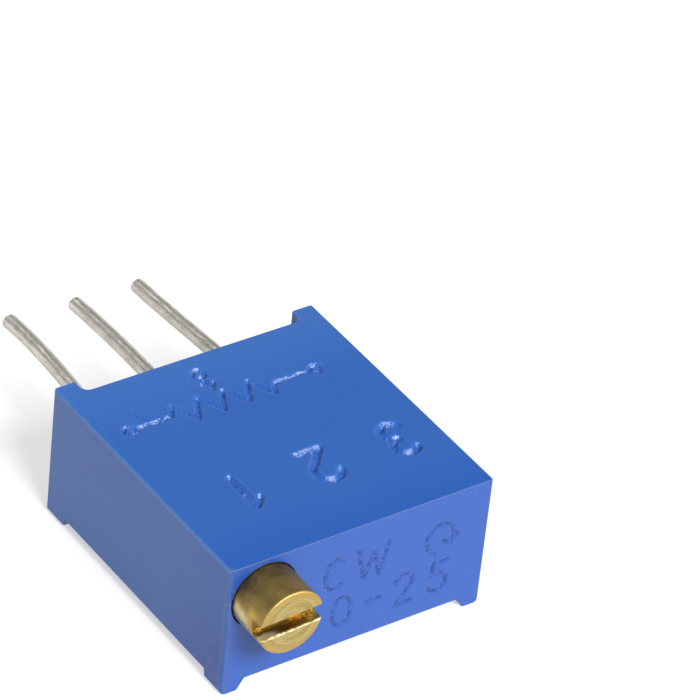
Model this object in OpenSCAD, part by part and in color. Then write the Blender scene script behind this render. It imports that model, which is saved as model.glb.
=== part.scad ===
// Multi-turn square trimmer potentiometer. A slotted lead screw enters one end of a moulded
// housing and drives a sprung wiper along a printed track. Three wire pins leave the other end.
// It lies on the four feet of its sealed side, label face up. Millimetres, +Z up.
// The origin is the middle of the whole outline, at the height of the feet.

/* [Housing] */
// Width of the housing, across the row of pins
body_w = 9.53; // [9.45:0.01:9.75]
// Length of the housing, from the adjuster face to the board seat
body_len = 10.03; // [9.95:0.01:10.25]
// Height from the feet to the label face
body_h = 4.83; // [4.75:0.01:4.95]
// Height of the four feet on the sealed side
foot_h = 0.4; // [0.3:0.01:0.45]
// Depth of the two standoff ribs at the pin end
rib_depth = 0.55; // [0.45:0.01:0.6]
// Width of a standoff rib
rib_w = 0.75; // [0.65:0.01:0.8]
// Thickness of the wall under the label face
roof_t = 0.45; // [0.4:0.01:0.48]
// Radius of the upright corners beside the adjuster
corner_r = 0.1; // [0.06:0.01:0.22]

/* [Marks] */
// Height of the terminal numbers in the label face
digit_h = 1.5; // [1.2:0.01:1.6]
// Depth of the numbers and of the circuit sign
mark_depth = 0.1; // [0.05:0.01:0.15]

/* [Adjuster] */
// Diameter of the screw's head
head_d = 2.24; // [2.1:0.01:2.26]
// Distance that the head stands out of the housing
head_proud = 1.5; // [1.2:0.01:1.8]
// Width of the screwdriver slot
slot_w = 0.56; // [0.4:0.01:0.7]
// Depth of the screwdriver slot
slot_depth = 0.52; // [0.3:0.01:0.9]
// Angle of the slot to the label face at rest, in degrees
slot_angle = 177; // [0:1:180]
// Diameter over the screw's thread
thread_d = 1.5; // [1.3:0.01:1.5]

/* [Pins] */
// Diameter of a pin
pin_d = 0.51; // [0.45:0.01:0.6]
// Distance between neighbouring pins
pin_pitch = 2.54; // [2.5:0.01:2.58]
// Length of a pin beyond the board seat
pin_len = 6.35; // [3:0.05:12]
// Height of the pins above the feet
pin_z = 2.45; // [2.42:0.01:2.48]

/* [Element] */
// Thickness of the ceramic plate
plate_t = 0.6; // [0.4:0.01:0.65]
// Thickness of the printed films
film_t = 0.05; // [0.03:0.01:0.06]

/* [Hidden] */
$fn = 64;
eps = 0.5;        // how far a cutting tool runs past the face that it opens
play = 0.04;      // radial running clearance of the screw in the housing

// Middle of the housing, so that the whole outline is centred on the origin
body_y = (head_proud - pin_len) / 2;

// Outer faces, with the housing centred on X and Y
left_x = -body_w / 2;
right_x = body_w / 2;
adjuster_y = -body_len / 2;
seat_y = body_len / 2;
pin_face_y = seat_y - rib_depth;
label_z = body_h;
sealed_z = foot_h;
rib_corner_r = corner_r / 2;

// Inner faces
well_left_x = left_x + 0.365;
well_right_x = right_x - 0.585;
well_end_y = adjuster_y + 1.015;
well_floor_z = sealed_z + 0.5;
wall_y = pin_face_y - 0.565;
boss_x = left_x + 3.015;
boss_y = adjuster_y + 2.215;
roof_z = label_z - roof_t;
ledge_w = 0.43;
lug_depth = 0.3;

// Lead screw
screw_x = left_x + 1.275;
screw_z = label_z - 1.34;
head_r = head_d / 2;
thread_r = thread_d / 2;
shank_r = 0.78;
journal_r = 0.38;
screw_tip_y = adjuster_y - head_proud;
head_back_y = adjuster_y + 0.265;
ring_y = adjuster_y + 0.565;
ring_r = 0.21;
ring_groove_w = 0.46;
bore_step_y = adjuster_y + 0.915;
clip_y = adjuster_y + 1.385;
clip_groove_w = 0.38;
clip_groove_r = 0.42;
thread_start_y = adjuster_y + 2.565;
thread_end_y = wall_y - 0.15;
journal_end_y = wall_y + 0.3;

// Retaining clip and the pocket that it goes in through
clip_t = 0.3;
clip_w = 1.4;
clip_foot_z = sealed_z + 0.85;
clip_tip_z = screw_z + 0.55;
pocket_h = 0.8;
pocket_len = 1.1;

// Printed element: the pins lie on the film side of the plate
film_z = pin_z - pin_d / 2;
plate_z = film_z - film_t;
plate_gap = 0.05;
plate_left_x = well_left_x + plate_gap;
plate_right_x = well_right_x - plate_gap;
plate_near_y = boss_y + plate_gap;
plate_far_y = wall_y - plate_gap;
collector_w = 0.9;
track_x = 1.6;
track_w = 1.2;
track_near_y = plate_near_y + 0.18;
track_far_y = plate_near_y + 5.17;
lead_w = 0.16;
pad_w = 0.88;

// Pins: round outside, flattened to the same cross-section on their pads
pin_x = [-pin_pitch, 0, pin_pitch];
tab_w = 0.7;
tab_t = PI * pow(pin_d / 2, 2) / tab_w;
tab_start_y = pin_face_y - 1.415;
tab_end_y = pin_face_y - 0.1;
pin_end_y = seat_y + pin_len;
pad_y = tab_start_y + 0.15;
solder_r = 0.6;
solder_sink = 0.24;

// Carriage at the middle of its travel
travel = 4.75;
carriage_y = boss_y + 0.3 + 0.1 + 0.65 + travel / 2;
nut_half = 0.65;
arm_half = 0.5;
nut_r = thread_r + 0.05;
carriage_top_z = roof_z - 0.05;
carriage_low_z = film_z + 0.62;
arm_low_z = film_z + 0.8;
arm_top_z = arm_low_z + 0.85;
spring_t = 0.08;
spring_left_x = -0.5;
spring_right_x = track_x + track_w / 2;
finger_w = 0.3;
finger_x = [-0.2, 0.2, track_x - 0.4, track_x, track_x + 0.4];
contact_gap = 0.01;
stake_x = [0.55, 0.95];
stake_r = 0.13;
stake_y = 0.25;

// Marks in the label face, read from the end with the pins
digit_x = [-2.3, 0.5, 3.3];
digit_y = adjuster_y + 3.8;
digit_half_w = 0.15;
sign_x = 3.2;
sign_y = pin_face_y - 2.3;
sign_len = 7.2;
sign_tooth_h = 0.45;
sign_ring_r = 0.2;
sign_half_w = 0.09;
mark_fn = 16;     // sides of the round ends of a stroke

// Puts a sub-part, drawn round the housing's middle, in its place
module placed() {
    translate([0, body_y, 0]) children();
}

// A box between two corners
module block(low, high) {
    translate(low) cube(high - low);
}

// Runs an outline in X and Z along Y
module run_y(y0, y1) {
    translate([0, y1, 0]) rotate([90, 0, 0]) linear_extrude(y1 - y0) children();
}

// Runs an outline in Y and Z along X
module run_x(x0, x1) {
    translate([x0, 0, 0]) rotate([90, 0, 90]) linear_extrude(x1 - x0) children();
}

// Turns an outline of radius and Y round the screw's axis
module turn_on_screw() {
    translate([screw_x, 0, screw_z]) rotate([-90, 0, 0]) rotate_extrude() children();
}

// A round bar or hole on the screw's axis
module on_screw(r, y0, y1) {
    translate([screw_x, y0, screw_z]) rotate([-90, 0, 0]) cylinder(r = r, h = y1 - y0);
}

// Outline of a foot seen along Y. Its inner side slants and its outer lower corner is round.
module foot_front(side, root_x, tip_x) {
    r = 0.22;
    mirror([side > 0 ? 0 : 1, 0]) {
        polygon([[tip_x, 0], [right_x - r, 0], [right_x - r, sealed_z + eps],
                 [root_x, sealed_z + eps], [root_x, sealed_z]]);
        translate([right_x - r, r]) square([r, sealed_z + eps - r]);
        translate([right_x - r, r]) circle(r);
    }
}

// Outline of a foot seen along X, from its inner root and tip to the end of the housing
module foot_side(root_y, tip_y, outer_y) {
    polygon([[tip_y, 0], [outer_y, 0], [outer_y, sealed_z + eps], [root_y, sealed_z + eps],
             [root_y, sealed_z]]);
}

// One foot. end is -1 at the adjuster and 1 at the pins.
module foot(side, end) {
    root_x = right_x - rib_w - (end < 0 ? 0.1 : 0);
    root_y = end < 0 ? adjuster_y + 0.95 : pin_face_y - 0.55;
    tip_y = end < 0 ? adjuster_y + 0.88 : pin_face_y - 0.32;
    intersection() {
        run_y(adjuster_y, seat_y) foot_front(side, root_x, right_x - rib_w + 0.16);
        run_x(left_x, right_x) foot_side(root_y, tip_y, end < 0 ? adjuster_y : seat_y);
    }
}

// One standoff rib, with a hollow fillet where it meets the pin face
module standoff_rib(side) {
    r = 0.3;
    inner_x = right_x - rib_w;
    mirror([side > 0 ? 0 : 1, 0, 0]) translate([0, 0, sealed_z]) linear_extrude(label_z - sealed_z) {
        translate([inner_x, pin_face_y - eps]) square([rib_w, rib_depth + eps]);
        difference() {
            translate([inner_x - r, pin_face_y - eps]) square([r + eps / 2, r + eps]);
            translate([inner_x - r, pin_face_y + r]) circle(r);
        }
    }
}

// Opening of a pin slot, narrow at the sealed side and wide where the pin lies
module slot_outline(extra) {
    mouth = 0.34;
    polygon([[-mouth, sealed_z - extra], [mouth, sealed_z - extra], [mouth, sealed_z],
             [0.62, pin_z - 0.25], [0.62, pin_z + 0.15], [0.4, pin_z + 0.36],
             [-0.4, pin_z + 0.36], [-0.62, pin_z + 0.15], [-0.62, pin_z - 0.25],
             [-mouth, sealed_z]]);
}

// Shallow channel in the pin face, above each pin, with a round end
module pin_channel(x) {
    half_w = 0.4;
    end_z = label_z - 0.53 - half_w;
    run_y(pin_face_y - 0.3, pin_face_y + eps) translate([x, 0]) {
        translate([-half_w, pin_z]) square([2 * half_w, end_z - pin_z]);
        translate([0, end_z]) circle(half_w);
    }
}

// Shallow resin well, which leaves the boss standing in one corner
module well_outline() {
    difference() {
        translate([well_left_x, well_end_y])
            square([well_right_x - well_left_x, wall_y - well_end_y]);
        translate([well_left_x - eps, well_end_y - eps])
            square([boss_x - well_left_x + eps, boss_y - well_end_y + eps]);
    }
}

// Room of the carriage. The plate closes it and sits on the ledge, the lugs and the boss.
module carriage_room() {
    difference() {
        block([well_left_x, boss_y, plate_z - eps], [well_right_x - ledge_w, wall_y, roof_z]);
        for (x = [-1.27, 1.27]) {
            block([x - 0.42, wall_y - lug_depth, plate_z - 2 * eps], [x + 0.42, wall_y + eps, roof_z + eps]);
        }
        block([well_left_x - eps, boss_y - eps, plate_z - 2 * eps],
              [well_left_x + 1.35, boss_y + lug_depth, roof_z + eps]);
    }
}

// Stepped bore of the screw through the boss, and the blind bore of its journal
module screw_bore() {
    on_screw(head_r + play, adjuster_y - eps, bore_step_y);
    on_screw(shank_r + play, bore_step_y - eps, boss_y + lug_depth + 0.02);
    on_screw(journal_r + play, wall_y - eps, journal_end_y + 0.04);
}

// Narrow slot that the retaining clip slides into
module clip_slot() {
    half_w = clip_w / 2 + 0.025;
    block([screw_x - half_w, clip_y - clip_t / 2 - 0.02, sealed_z],
          [screw_x + half_w, clip_y + clip_t / 2 + 0.02, clip_tip_z + 0.05]);
}

// Wider pocket at the mouth of the clip's slot
module clip_pocket(extra) {
    half_w = clip_w / 2 + 0.025;
    block([screw_x - half_w, clip_y - pocket_len / 2, sealed_z - extra],
          [screw_x + half_w, clip_y + pocket_len / 2, sealed_z + pocket_h]);
}

// Small torn pit beside the pocket, left by the moulding
module gate_pit() {
    translate([screw_x + 1.3, clip_y - 0.45, sealed_z]) sphere(r = 0.34);
}

// A straight stroke between two points, with round ends
module stroke(a, b, half_w) {
    span = b - a;
    translate(a) rotate(atan2(span[1], span[0])) translate([0, -half_w]) square([norm(span), 2 * half_w]);
    for (end = [a, b]) {
        translate(end) circle(half_w, $fn = mark_fn);
    }
}

// Straight strokes from point to point
module strokes(points, half_w) {
    for (i = [1 : len(points) - 1]) {
        stroke(points[i - 1], points[i], half_w);
    }
}

// A round stroke between two angles, with round ends
module bow(centre, r, start, turn, half_w) {
    translate(centre) {
        intersection() {
            difference() {
                circle(r + half_w);
                circle(r - half_w);
            }
            polygon([[0, 0], for (i = [0 : 4]) let (a = start + turn * i / 4) 2 * r * [cos(a), sin(a)]]);
        }
        for (a = [start, start + turn]) {
            translate(r * [cos(a), sin(a)]) circle(half_w, $fn = mark_fn);
        }
    }
}

// The number of a terminal, one digit high above its base line and centred on it
module digit(number) {
    r = 0.25 * digit_h;
    translate([-0.3 * digit_h, 0]) {
        if (number == 1) strokes(digit_h * [[0.12, 0.78], [0.34, 1], [0.34, 0]], digit_half_w);
        if (number == 2) {
            bow(digit_h * [0.3, 0.71], 1.16 * r, -38, 203, digit_half_w);
            strokes(digit_h * [[0.53, 0.53], [0.04, 0], [0.6, 0]], digit_half_w);
        }
        if (number == 3) {
            bow(digit_h * [0.28, 0.75], r, -90, 240, digit_half_w);
            bow(digit_h * [0.28, 0.25], r, -150, 240, digit_half_w);
        }
    }
}

// Circuit sign of a trimmer: a zigzag between two terminals, and an arrow from a third
module circuit_sign() {
    teeth_start = sign_len * 0.24;
    tooth = (sign_len - 2 * teeth_start) / 8;
    middle = sign_len / 2;
    strokes([[2 * sign_ring_r, 0], [teeth_start, 0],
             for (i = [0 : 7]) [teeth_start + tooth * (i + 0.5), i % 2 == 0 ? sign_tooth_h : -sign_tooth_h],
             [sign_len - teeth_start, 0], [sign_len - 2 * sign_ring_r, 0]], sign_half_w);
    for (x = [sign_ring_r, sign_len - sign_ring_r]) {
        bow([x, 0], sign_ring_r, 0, 180, sign_half_w);
        bow([x, 0], sign_ring_r, 180, 180, sign_half_w);
    }
    strokes([[middle, -sign_tooth_h - 0.15], [middle, -sign_tooth_h - 0.8]], sign_half_w);
    strokes([[middle - 0.2, -sign_tooth_h - 0.45], [middle, -sign_tooth_h - 0.15],
             [middle + 0.2, -sign_tooth_h - 0.45]], sign_half_w);
    bow([middle, -sign_tooth_h - 1.0], sign_ring_r, 0, 180, sign_half_w);
    bow([middle, -sign_tooth_h - 1.0], sign_ring_r, 180, 180, sign_half_w);
}

// Grooves of the numbers and the sign. Their tops point to the adjuster.
module label_marks() {
    translate([0, 0, label_z - mark_depth]) linear_extrude(mark_depth + eps) {
        for (i = [0 : 2]) {
            translate([digit_x[i], digit_y]) rotate(180) digit(i + 1);
        }
        translate([sign_x, sign_y]) rotate(180) circuit_sign();
    }
}

// Outline of the moulding seen from above, with all four corners round
module plan_outline() {
    translate([left_x, adjuster_y + corner_r]) square([body_w, body_len - corner_r - rib_corner_r]);
    for (end = [[adjuster_y, corner_r, 1], [seat_y, rib_corner_r, -1]]) {
        translate([left_x + end[1], min(end[0], 0)]) square([body_w - 2 * end[1], body_len / 2]);
        for (side = [-1, 1]) {
            translate([side * (right_x - end[1]), end[0] + end[2] * end[1]]) circle(end[1]);
        }
    }
}

// The moulding from outside, before anything is taken out of it
module moulded_blank() {
    intersection() {
        union() {
            block([left_x, adjuster_y, sealed_z], [right_x, pin_face_y, label_z]);
            for (side = [-1, 1]) {
                standoff_rib(side);
                foot(side, -1);
                foot(side, 1);
            }
        }
        translate([0, 0, -eps]) linear_extrude(label_z + 2 * eps) plan_outline();
    }
}

module housing() {
    color("royalblue") placed() difference() {
        moulded_blank();
        translate([0, 0, sealed_z - eps]) linear_extrude(well_floor_z - sealed_z + eps) well_outline();
        block([well_left_x, boss_y, sealed_z - eps], [well_right_x, wall_y, plate_z]);
        carriage_room();
        screw_bore();
        clip_slot();
        clip_pocket(eps);
        for (x = pin_x) {
            run_y(wall_y - 0.1, pin_face_y + eps) translate([x, 0]) slot_outline(eps);
            pin_channel(x);
        }
        gate_pit();
        label_marks();
    }
}

// Casting resin under the plate and in the three pin slots
module epoxy_seal() {
    color("mediumblue") placed() difference() {
        union() {
            translate([0, 0, sealed_z]) linear_extrude(well_floor_z - sealed_z) well_outline();
            block([well_left_x, boss_y, sealed_z], [well_right_x, wall_y, plate_z - plate_t]);
            for (x = pin_x) {
                run_y(wall_y, pin_face_y) translate([x, 0]) slot_outline(0);
            }
        }
        for (x = pin_x) {
            pin_shape(x);
        }
    }
}

// Resin in the mouth of the clip's pocket
module clip_seal() {
    color("mediumblue") placed() clip_pocket(0);
}

// Turned in one piece: head, ring groove, clip groove, thread and journal
module adjustment_screw() {
    edge = 0.06;
    color("goldenrod") placed() difference() {
        turn_on_screw() polygon([
            [0, screw_tip_y], [head_r - edge, screw_tip_y], [head_r, screw_tip_y + edge],
            [head_r, head_back_y], [shank_r, head_back_y],
            [shank_r, ring_y - ring_groove_w / 2], [shank_r - 0.06, ring_y - ring_groove_w / 2],
            [shank_r - 0.06, ring_y + ring_groove_w / 2], [shank_r, ring_y + ring_groove_w / 2],
            [shank_r, clip_y - clip_groove_w / 2], [clip_groove_r, clip_y - clip_groove_w / 2],
            [clip_groove_r, clip_y + clip_groove_w / 2], [shank_r, clip_y + clip_groove_w / 2],
            [shank_r, thread_start_y - 0.1], [thread_r, thread_start_y],
            [thread_r, thread_end_y - 0.1], [thread_r - 0.1, thread_end_y],
            [journal_r, thread_end_y], [journal_r, journal_end_y - 0.1],
            [journal_r - 0.1, journal_end_y], [0, journal_end_y]]);
        translate([screw_x, screw_tip_y - eps, screw_z]) rotate([0, slot_angle, 0])
            translate([-head_d, 0, -slot_w / 2]) cube([2 * head_d, slot_depth + eps, slot_w]);
    }
}

// Rubber ring, drawn as squeezed in its groove
module o_ring() {
    color("dimgray") placed() turn_on_screw() translate([shank_r - 0.06 + ring_r, ring_y]) circle(ring_r);
}

// Flat horseshoe astride the screw's inner groove
module retaining_clip() {
    gap_r = clip_groove_r + 0.03;
    color("silver") placed() run_y(clip_y - clip_t / 2, clip_y + clip_t / 2) difference() {
        translate([screw_x - clip_w / 2, clip_foot_z]) square([clip_w, clip_tip_z - clip_foot_z]);
        translate([screw_x, screw_z]) circle(gap_r);
        translate([screw_x - gap_r, screw_z]) square([2 * gap_r, clip_tip_z]);
    }
}

// Moulded slider: half nut on the left, arm over the plate, guide foot on the right
module carriage() {
    nut_right_x = screw_x + 1.35;
    foot_right_x = well_right_x - ledge_w - 0.08;
    foot_left_x = foot_right_x - 0.7;
    color("ivory") placed() translate([0, carriage_y, 0]) {
        difference() {
            union() {
                block([screw_x + 0.1, -nut_half, carriage_low_z], [nut_right_x, nut_half, carriage_top_z]);
                block([nut_right_x - eps, -arm_half, arm_low_z], [foot_left_x + eps, arm_half, arm_top_z]);
                block([foot_left_x, -arm_half, carriage_low_z], [foot_right_x, arm_half, carriage_top_z]);
            }
            translate([screw_x, -eps - nut_half, screw_z]) rotate([-90, 0, 0])
                cylinder(r = nut_r, h = 2 * (nut_half + eps));
        }
        for (x = stake_x) {
            translate([x, stake_y, arm_low_z - 2 * spring_t]) cylinder(r = stake_r, h = 3 * spring_t);
        }
    }
}

// Side view of one finger: it leaves the plate, dips to the track and turns up at its tip
module finger_side() {
    top_z = arm_low_z;
    low_z = film_z + contact_gap;
    polygon([[0.05, top_z], [0.05, top_z - spring_t], [-0.03, top_z - spring_t], [-0.62, low_z + 0.05],
             [-0.68, low_z], [-0.74, low_z], [-0.86, low_z + 0.17], [-0.86, low_z + 0.27],
             [-0.72, low_z + 0.09], [-0.66, low_z + 0.09], [-0.1, top_z - 0.02], [-0.06, top_z]]);
}

// Stamped contact: a plate under the arm, with bent fingers on the collector and on the track
module wiper_spring() {
    color("khaki") placed() translate([0, carriage_y, 0]) {
        difference() {
            block([spring_left_x, 0, arm_low_z - spring_t], [spring_right_x, arm_half, arm_low_z]);
            for (x = stake_x) {
                translate([x, stake_y, arm_low_z - 2 * spring_t]) cylinder(r = stake_r, h = 3 * spring_t);
            }
        }
        for (x = finger_x) {
            run_x(x - finger_w / 2, x + finger_w / 2) finger_side();
        }
    }
}

module ceramic_substrate() {
    color("white") placed()
        block([plate_left_x, plate_near_y, plate_z - plate_t], [plate_right_x, plate_far_y, plate_z]);
}

// A printed film on the plate, from one corner to the other in plan
module film(low, high) {
    block([low[0], low[1], plate_z], [high[0], high[1], film_z]);
}

module resistive_track() {
    color("black") placed()
        film([track_x - track_w / 2, track_near_y], [track_x + track_w / 2, track_far_y]);
}

module collector_track() {
    color("lightgray") placed()
        film([-collector_w / 2, track_near_y + 0.1], [collector_w / 2, plate_far_y - 0.08]);
}

// Runs along the adjuster edge of the plate and back to the first pin
module end_termination_1() {
    pad_left_x = pin_x[0] - pad_w / 2;
    color("lightgray") placed() {
        film([pad_left_x, track_near_y - lead_w], [track_x + track_w / 2, track_near_y]);
        film([pad_left_x, track_near_y - lead_w / 2], [pad_left_x + pad_w, plate_far_y - 0.08]);
    }
}

module end_termination_3() {
    color("lightgray") placed() {
        film([track_x - track_w / 2, track_far_y], [pin_x[2] + pad_w / 2, track_far_y + lead_w]);
        film([pin_x[2] - pad_w / 2, track_far_y + lead_w / 2], [pin_x[2] + pad_w / 2, plate_far_y - 0.08]);
    }
}

// Round wire, flattened where it lies on its pad
module pin_shape(x) {
    translate([x, tab_end_y, pin_z]) rotate([-90, 0, 0]) cylinder(d = pin_d, h = pin_end_y - tab_end_y);
    block([x - tab_w / 2, tab_start_y, film_z], [x + tab_w / 2, tab_end_y + 0.1, film_z + tab_t]);
}

module terminal_pin(index) {
    color("lightslategray") placed() pin_shape(pin_x[index]);
}

// Rounded heap of solder over the flattened end of a pin
module solder_joint(index) {
    x = pin_x[index];
    color("gainsboro") placed() difference() {
        translate([x, pad_y, film_z - solder_sink]) sphere(r = solder_r);
        block([x - 1, pad_y - 1, film_z - 1], [x + 1, pad_y + 1, film_z]);
        pin_shape(x);
    }
}

housing();
epoxy_seal();
clip_seal();
adjustment_screw();
o_ring();
retaining_clip();
carriage();
wiper_spring();
ceramic_substrate();
resistive_track();
collector_track();
end_termination_1();
end_termination_3();
terminal_pin(0);  // terminal_pin_1
terminal_pin(1);  // terminal_pin_2
terminal_pin(2);  // terminal_pin_3
solder_joint(0);  // solder_joint_1
solder_joint(1);  // solder_joint_2
solder_joint(2);  // solder_joint_3
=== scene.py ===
"""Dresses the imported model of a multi-turn trimmer potentiometer.

Lengths in the classes are millimetres in the model's own frame: X across the row of pins, Y from
the adjuster to the pin tips, Z up from the feet to the label face. A piece is modelled at a
thousand times its size, so that the modelling steps work in millimetres, and is scaled down last.
"""
import sys
import logging
import math
from abc import ABC, abstractmethod
from collections import Counter
from collections.abc import Callable, Iterable, Mapping, Sequence
from dataclasses import dataclass, field
from enum import Enum
from typing import Union

import bpy
import numpy as np
from mathutils import Matrix, Vector, noise


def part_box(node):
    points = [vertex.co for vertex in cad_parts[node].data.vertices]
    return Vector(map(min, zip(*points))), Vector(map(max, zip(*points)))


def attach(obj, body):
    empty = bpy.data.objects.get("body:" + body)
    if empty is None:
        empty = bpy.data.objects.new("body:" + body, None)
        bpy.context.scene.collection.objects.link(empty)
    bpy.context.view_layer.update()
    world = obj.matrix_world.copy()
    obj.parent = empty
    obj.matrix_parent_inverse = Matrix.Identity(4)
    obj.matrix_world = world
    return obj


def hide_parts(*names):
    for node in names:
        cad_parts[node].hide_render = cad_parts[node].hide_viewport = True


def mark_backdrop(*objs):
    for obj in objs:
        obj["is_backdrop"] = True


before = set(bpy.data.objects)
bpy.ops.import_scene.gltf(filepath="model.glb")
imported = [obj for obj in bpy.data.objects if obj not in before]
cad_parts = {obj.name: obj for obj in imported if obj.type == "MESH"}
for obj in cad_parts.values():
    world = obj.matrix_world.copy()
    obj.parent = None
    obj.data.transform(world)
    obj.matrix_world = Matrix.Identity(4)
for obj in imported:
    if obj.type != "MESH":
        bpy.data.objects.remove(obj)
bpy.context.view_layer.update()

log = logging.getLogger("trimmer")

MM = 0.001
Point = tuple[float, float, float]
Flat = tuple[float, float]
Colour = tuple[float, float, float]
Stroke = list[Flat]


# ---------------------------------------------------------------- shader building

def _math_method(operation: str, swapped: bool = False) -> Callable[["Value", "Term"], "Value"]:
    """Returns a method that adds a Math node to a shader.

    Args:
        operation: The node's operation.
        swapped: Whether the value comes after the other term.

    Returns:
        The method.
    """
    def method(value: "Value", other: "Term") -> "Value":
        """Adds the node and returns its result."""
        return value.shader.math(operation, *((other, value) if swapped else (value, other)))

    return method


class Value:
    """A number in a shader. Python sums on it add Math nodes."""

    def __init__(self, shader: "Shader", socket: bpy.types.NodeSocket) -> None:
        """Keeps the socket and the shader that it belongs to."""
        self.shader = shader
        self.socket = socket

    __add__ = __radd__ = _math_method("ADD")
    __sub__ = _math_method("SUBTRACT")
    __rsub__ = _math_method("SUBTRACT", swapped=True)
    __mul__ = __rmul__ = _math_method("MULTIPLY")

    def root(self) -> "Value":
        """Returns the square root."""
        return self.shader.math("SQRT", self)

    def size(self) -> "Value":
        """Returns the value without its sign."""
        return self.shader.math("ABSOLUTE", self)

    def ease(self, low: float, high: float) -> "Value":
        """Rises smoothly from 0 to 1.

        Args:
            low: The value at which the rise starts.
            high: The value at which it ends.

        Returns:
            0 below low, 1 above high, and the rise between them.
        """
        node = self.shader.node("MapRange", {"interpolation_type": "SMOOTHSTEP"},
                                {"Value": self, "From Min": low, "From Max": high})
        return Value(self.shader, node.outputs[0])


Term = Union[Value, float]


class Shader:
    """A material or a world while its nodes are being laid."""

    def __init__(self, name: str, holder: bpy.types.ID | None = None) -> None:
        """Starts an empty material whose places are counted in millimetres.

        Args:
            name: The material's name.
            holder: What takes the nodes in place of a new material, such as a world.
        """
        self.material = holder or bpy.data.materials.new(name)
        self.material.use_nodes = True
        self.tree = self.material.node_tree
        self.tree.nodes.clear()
        metres = self.node("TexCoord").outputs["Object"]
        self.place = self.node("VectorMath", {"operation": "SCALE"},
                               {"Vector": metres, "Scale": 1 / MM}).outputs[0]

    def node(self, kind: str, settings: Mapping[str, object] | None = None,
             sockets: Mapping[object, object] | None = None) -> bpy.types.Node:
        """Adds a node.

        Args:
            kind: The node's type, without the word ShaderNode.
            settings: Properties, which are set first.
            sockets: Input values or links by name, identifier or number.

        Returns:
            The new node.
        """
        made = self.tree.nodes.new("ShaderNode" + kind)
        for key, value in (settings or {}).items():
            setattr(made, key, value)
        for key, value in (sockets or {}).items():
            named = [s for s in made.inputs if s.identifier == key]
            socket = named[0] if named else made.inputs[key]
            source = value.socket if isinstance(value, Value) else value
            if isinstance(source, bpy.types.NodeSocket):
                self.tree.links.new(source, socket)
            elif socket.type == "RGBA":
                socket.default_value = (*source, 1.0)
            else:
                socket.default_value = source
        return made

    def math(self, operation: str, *terms: Term) -> Value:
        """Adds a Math node and returns its result."""
        return Value(self, self.node("Math", {"operation": operation},
                                     dict(enumerate(terms))).outputs[0])

    def axes(self) -> list[Value]:
        """Returns the place in millimetres as separate X, Y and Z."""
        split = self.node("SeparateXYZ", {}, {"Vector": self.place})
        return [Value(self, socket) for socket in split.outputs]

    def rays(self, *kinds: str) -> Value:
        """Tells some kinds of rays from the others.

        Args:
            kinds: The kinds, such as Camera or Glossy.

        Returns:
            1 for rays of those kinds and 0 for others.
        """
        path = self.node("LightPath").outputs
        first, *rest = (Value(self, path[f"Is {kind} Ray"]) for kind in kinds)
        for other in rest:
            first = self.math("MAXIMUM", first, other)
        return first

    def noise(self, size: float, detail: float = 2.0, rough: float = 0.5,
              stretch: Point = (1.0, 1.0, 1.0), at: bpy.types.NodeSocket | None = None) -> Value:
        """Lays cloudy noise.

        Args:
            size: Width of its lumps in millimetres.
            detail: How many finer layers it has.
            rough: Strength of each finer layer.
            stretch: More than 1 squeezes the lumps along that axis, less stretches them.
            at: The vector that it is laid on, in place of the plain position.

        Returns:
            The noise, between about 0 and 1.
        """
        place = self.node("Mapping", {}, {"Vector": at or self.place,
                                          "Scale": tuple(s / size for s in stretch)})
        node = self.node("TexNoise", {}, {"Vector": place.outputs[0], "Scale": 1.0,
                                          "Detail": detail, "Roughness": rough})
        return Value(self, node.outputs[0])

    def specks(self, size: float, width: float) -> Value:
        """Lays small round specks, one to a cell.

        Args:
            size: Size of a cell in millimetres.
            width: Width of a speck in millimetres.

        Returns:
            1 on the specks and 0 beside them.
        """
        place = self.node("Mapping", {}, {"Vector": self.place, "Scale": (1 / size,) * 3})
        node = self.node("TexVoronoi", {}, {"Vector": place.outputs[0], "Scale": 1.0})
        return 1 - Value(self, node.outputs["Distance"]).ease(width / size / 2, width / size)

    def attribute(self, name: str) -> Value:
        """Returns a number that the mesh carries on its points."""
        node = self.node("Attribute", {"attribute_name": name})
        return Value(self, node.outputs["Fac"])

    def mix(self, amount: Term, plain: object, other: object) -> bpy.types.NodeSocket:
        """Blends two colours.

        Args:
            amount: 0 for the plain colour and 1 for the other.
            plain: A colour or a colour's socket.
            other: A colour or a colour's socket.

        Returns:
            The socket of the blend.
        """
        node = self.node("Mix", {"data_type": "RGBA"},
                         {"Factor_Float": amount, "A_Color": plain, "B_Color": other})
        return next(s for s in node.outputs if s.identifier == "Result_Color")

    def coats(self, colour: object, *coats: tuple[Term, object]) -> object:
        """Lays coats over a colour, one after the other.

        Args:
            colour: The colour underneath.
            coats: How well each coat covers, from 0 to 1, and its colour.

        Returns:
            The socket of the colour on top.
        """
        for cover, tint in coats:
            colour = self.mix(cover, colour, tint)
        return colour

    def surface(self, colour: object, roughness: Term, height: Value | None = None,
                depth: float = 0.0, fixed: Mapping[str, object] | None = None,
                ) -> bpy.types.Material:
        """Finishes the material with one Principled surface.

        Args:
            colour: Base colour, or its socket.
            roughness: How dull it is.
            height: Fine relief between 0 and 1.
            depth: Depth of that relief in millimetres.
            fixed: Other sockets.

        Returns:
            The finished material.
        """
        sockets = {"Base Color": colour, "Roughness": roughness, **(fixed or {})}
        if height is not None:
            bump = self.node("Bump", {}, {"Strength": 1.0, "Distance": depth * MM,
                                          "Height": height})
            sockets["Normal"] = bump.outputs[0]
        shader = self.node("BsdfPrincipled", {}, sockets)
        self.node("OutputMaterial", {}, {"Surface": shader.outputs[0]})
        return self.material


# ---------------------------------------------------------------- finishes

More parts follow.
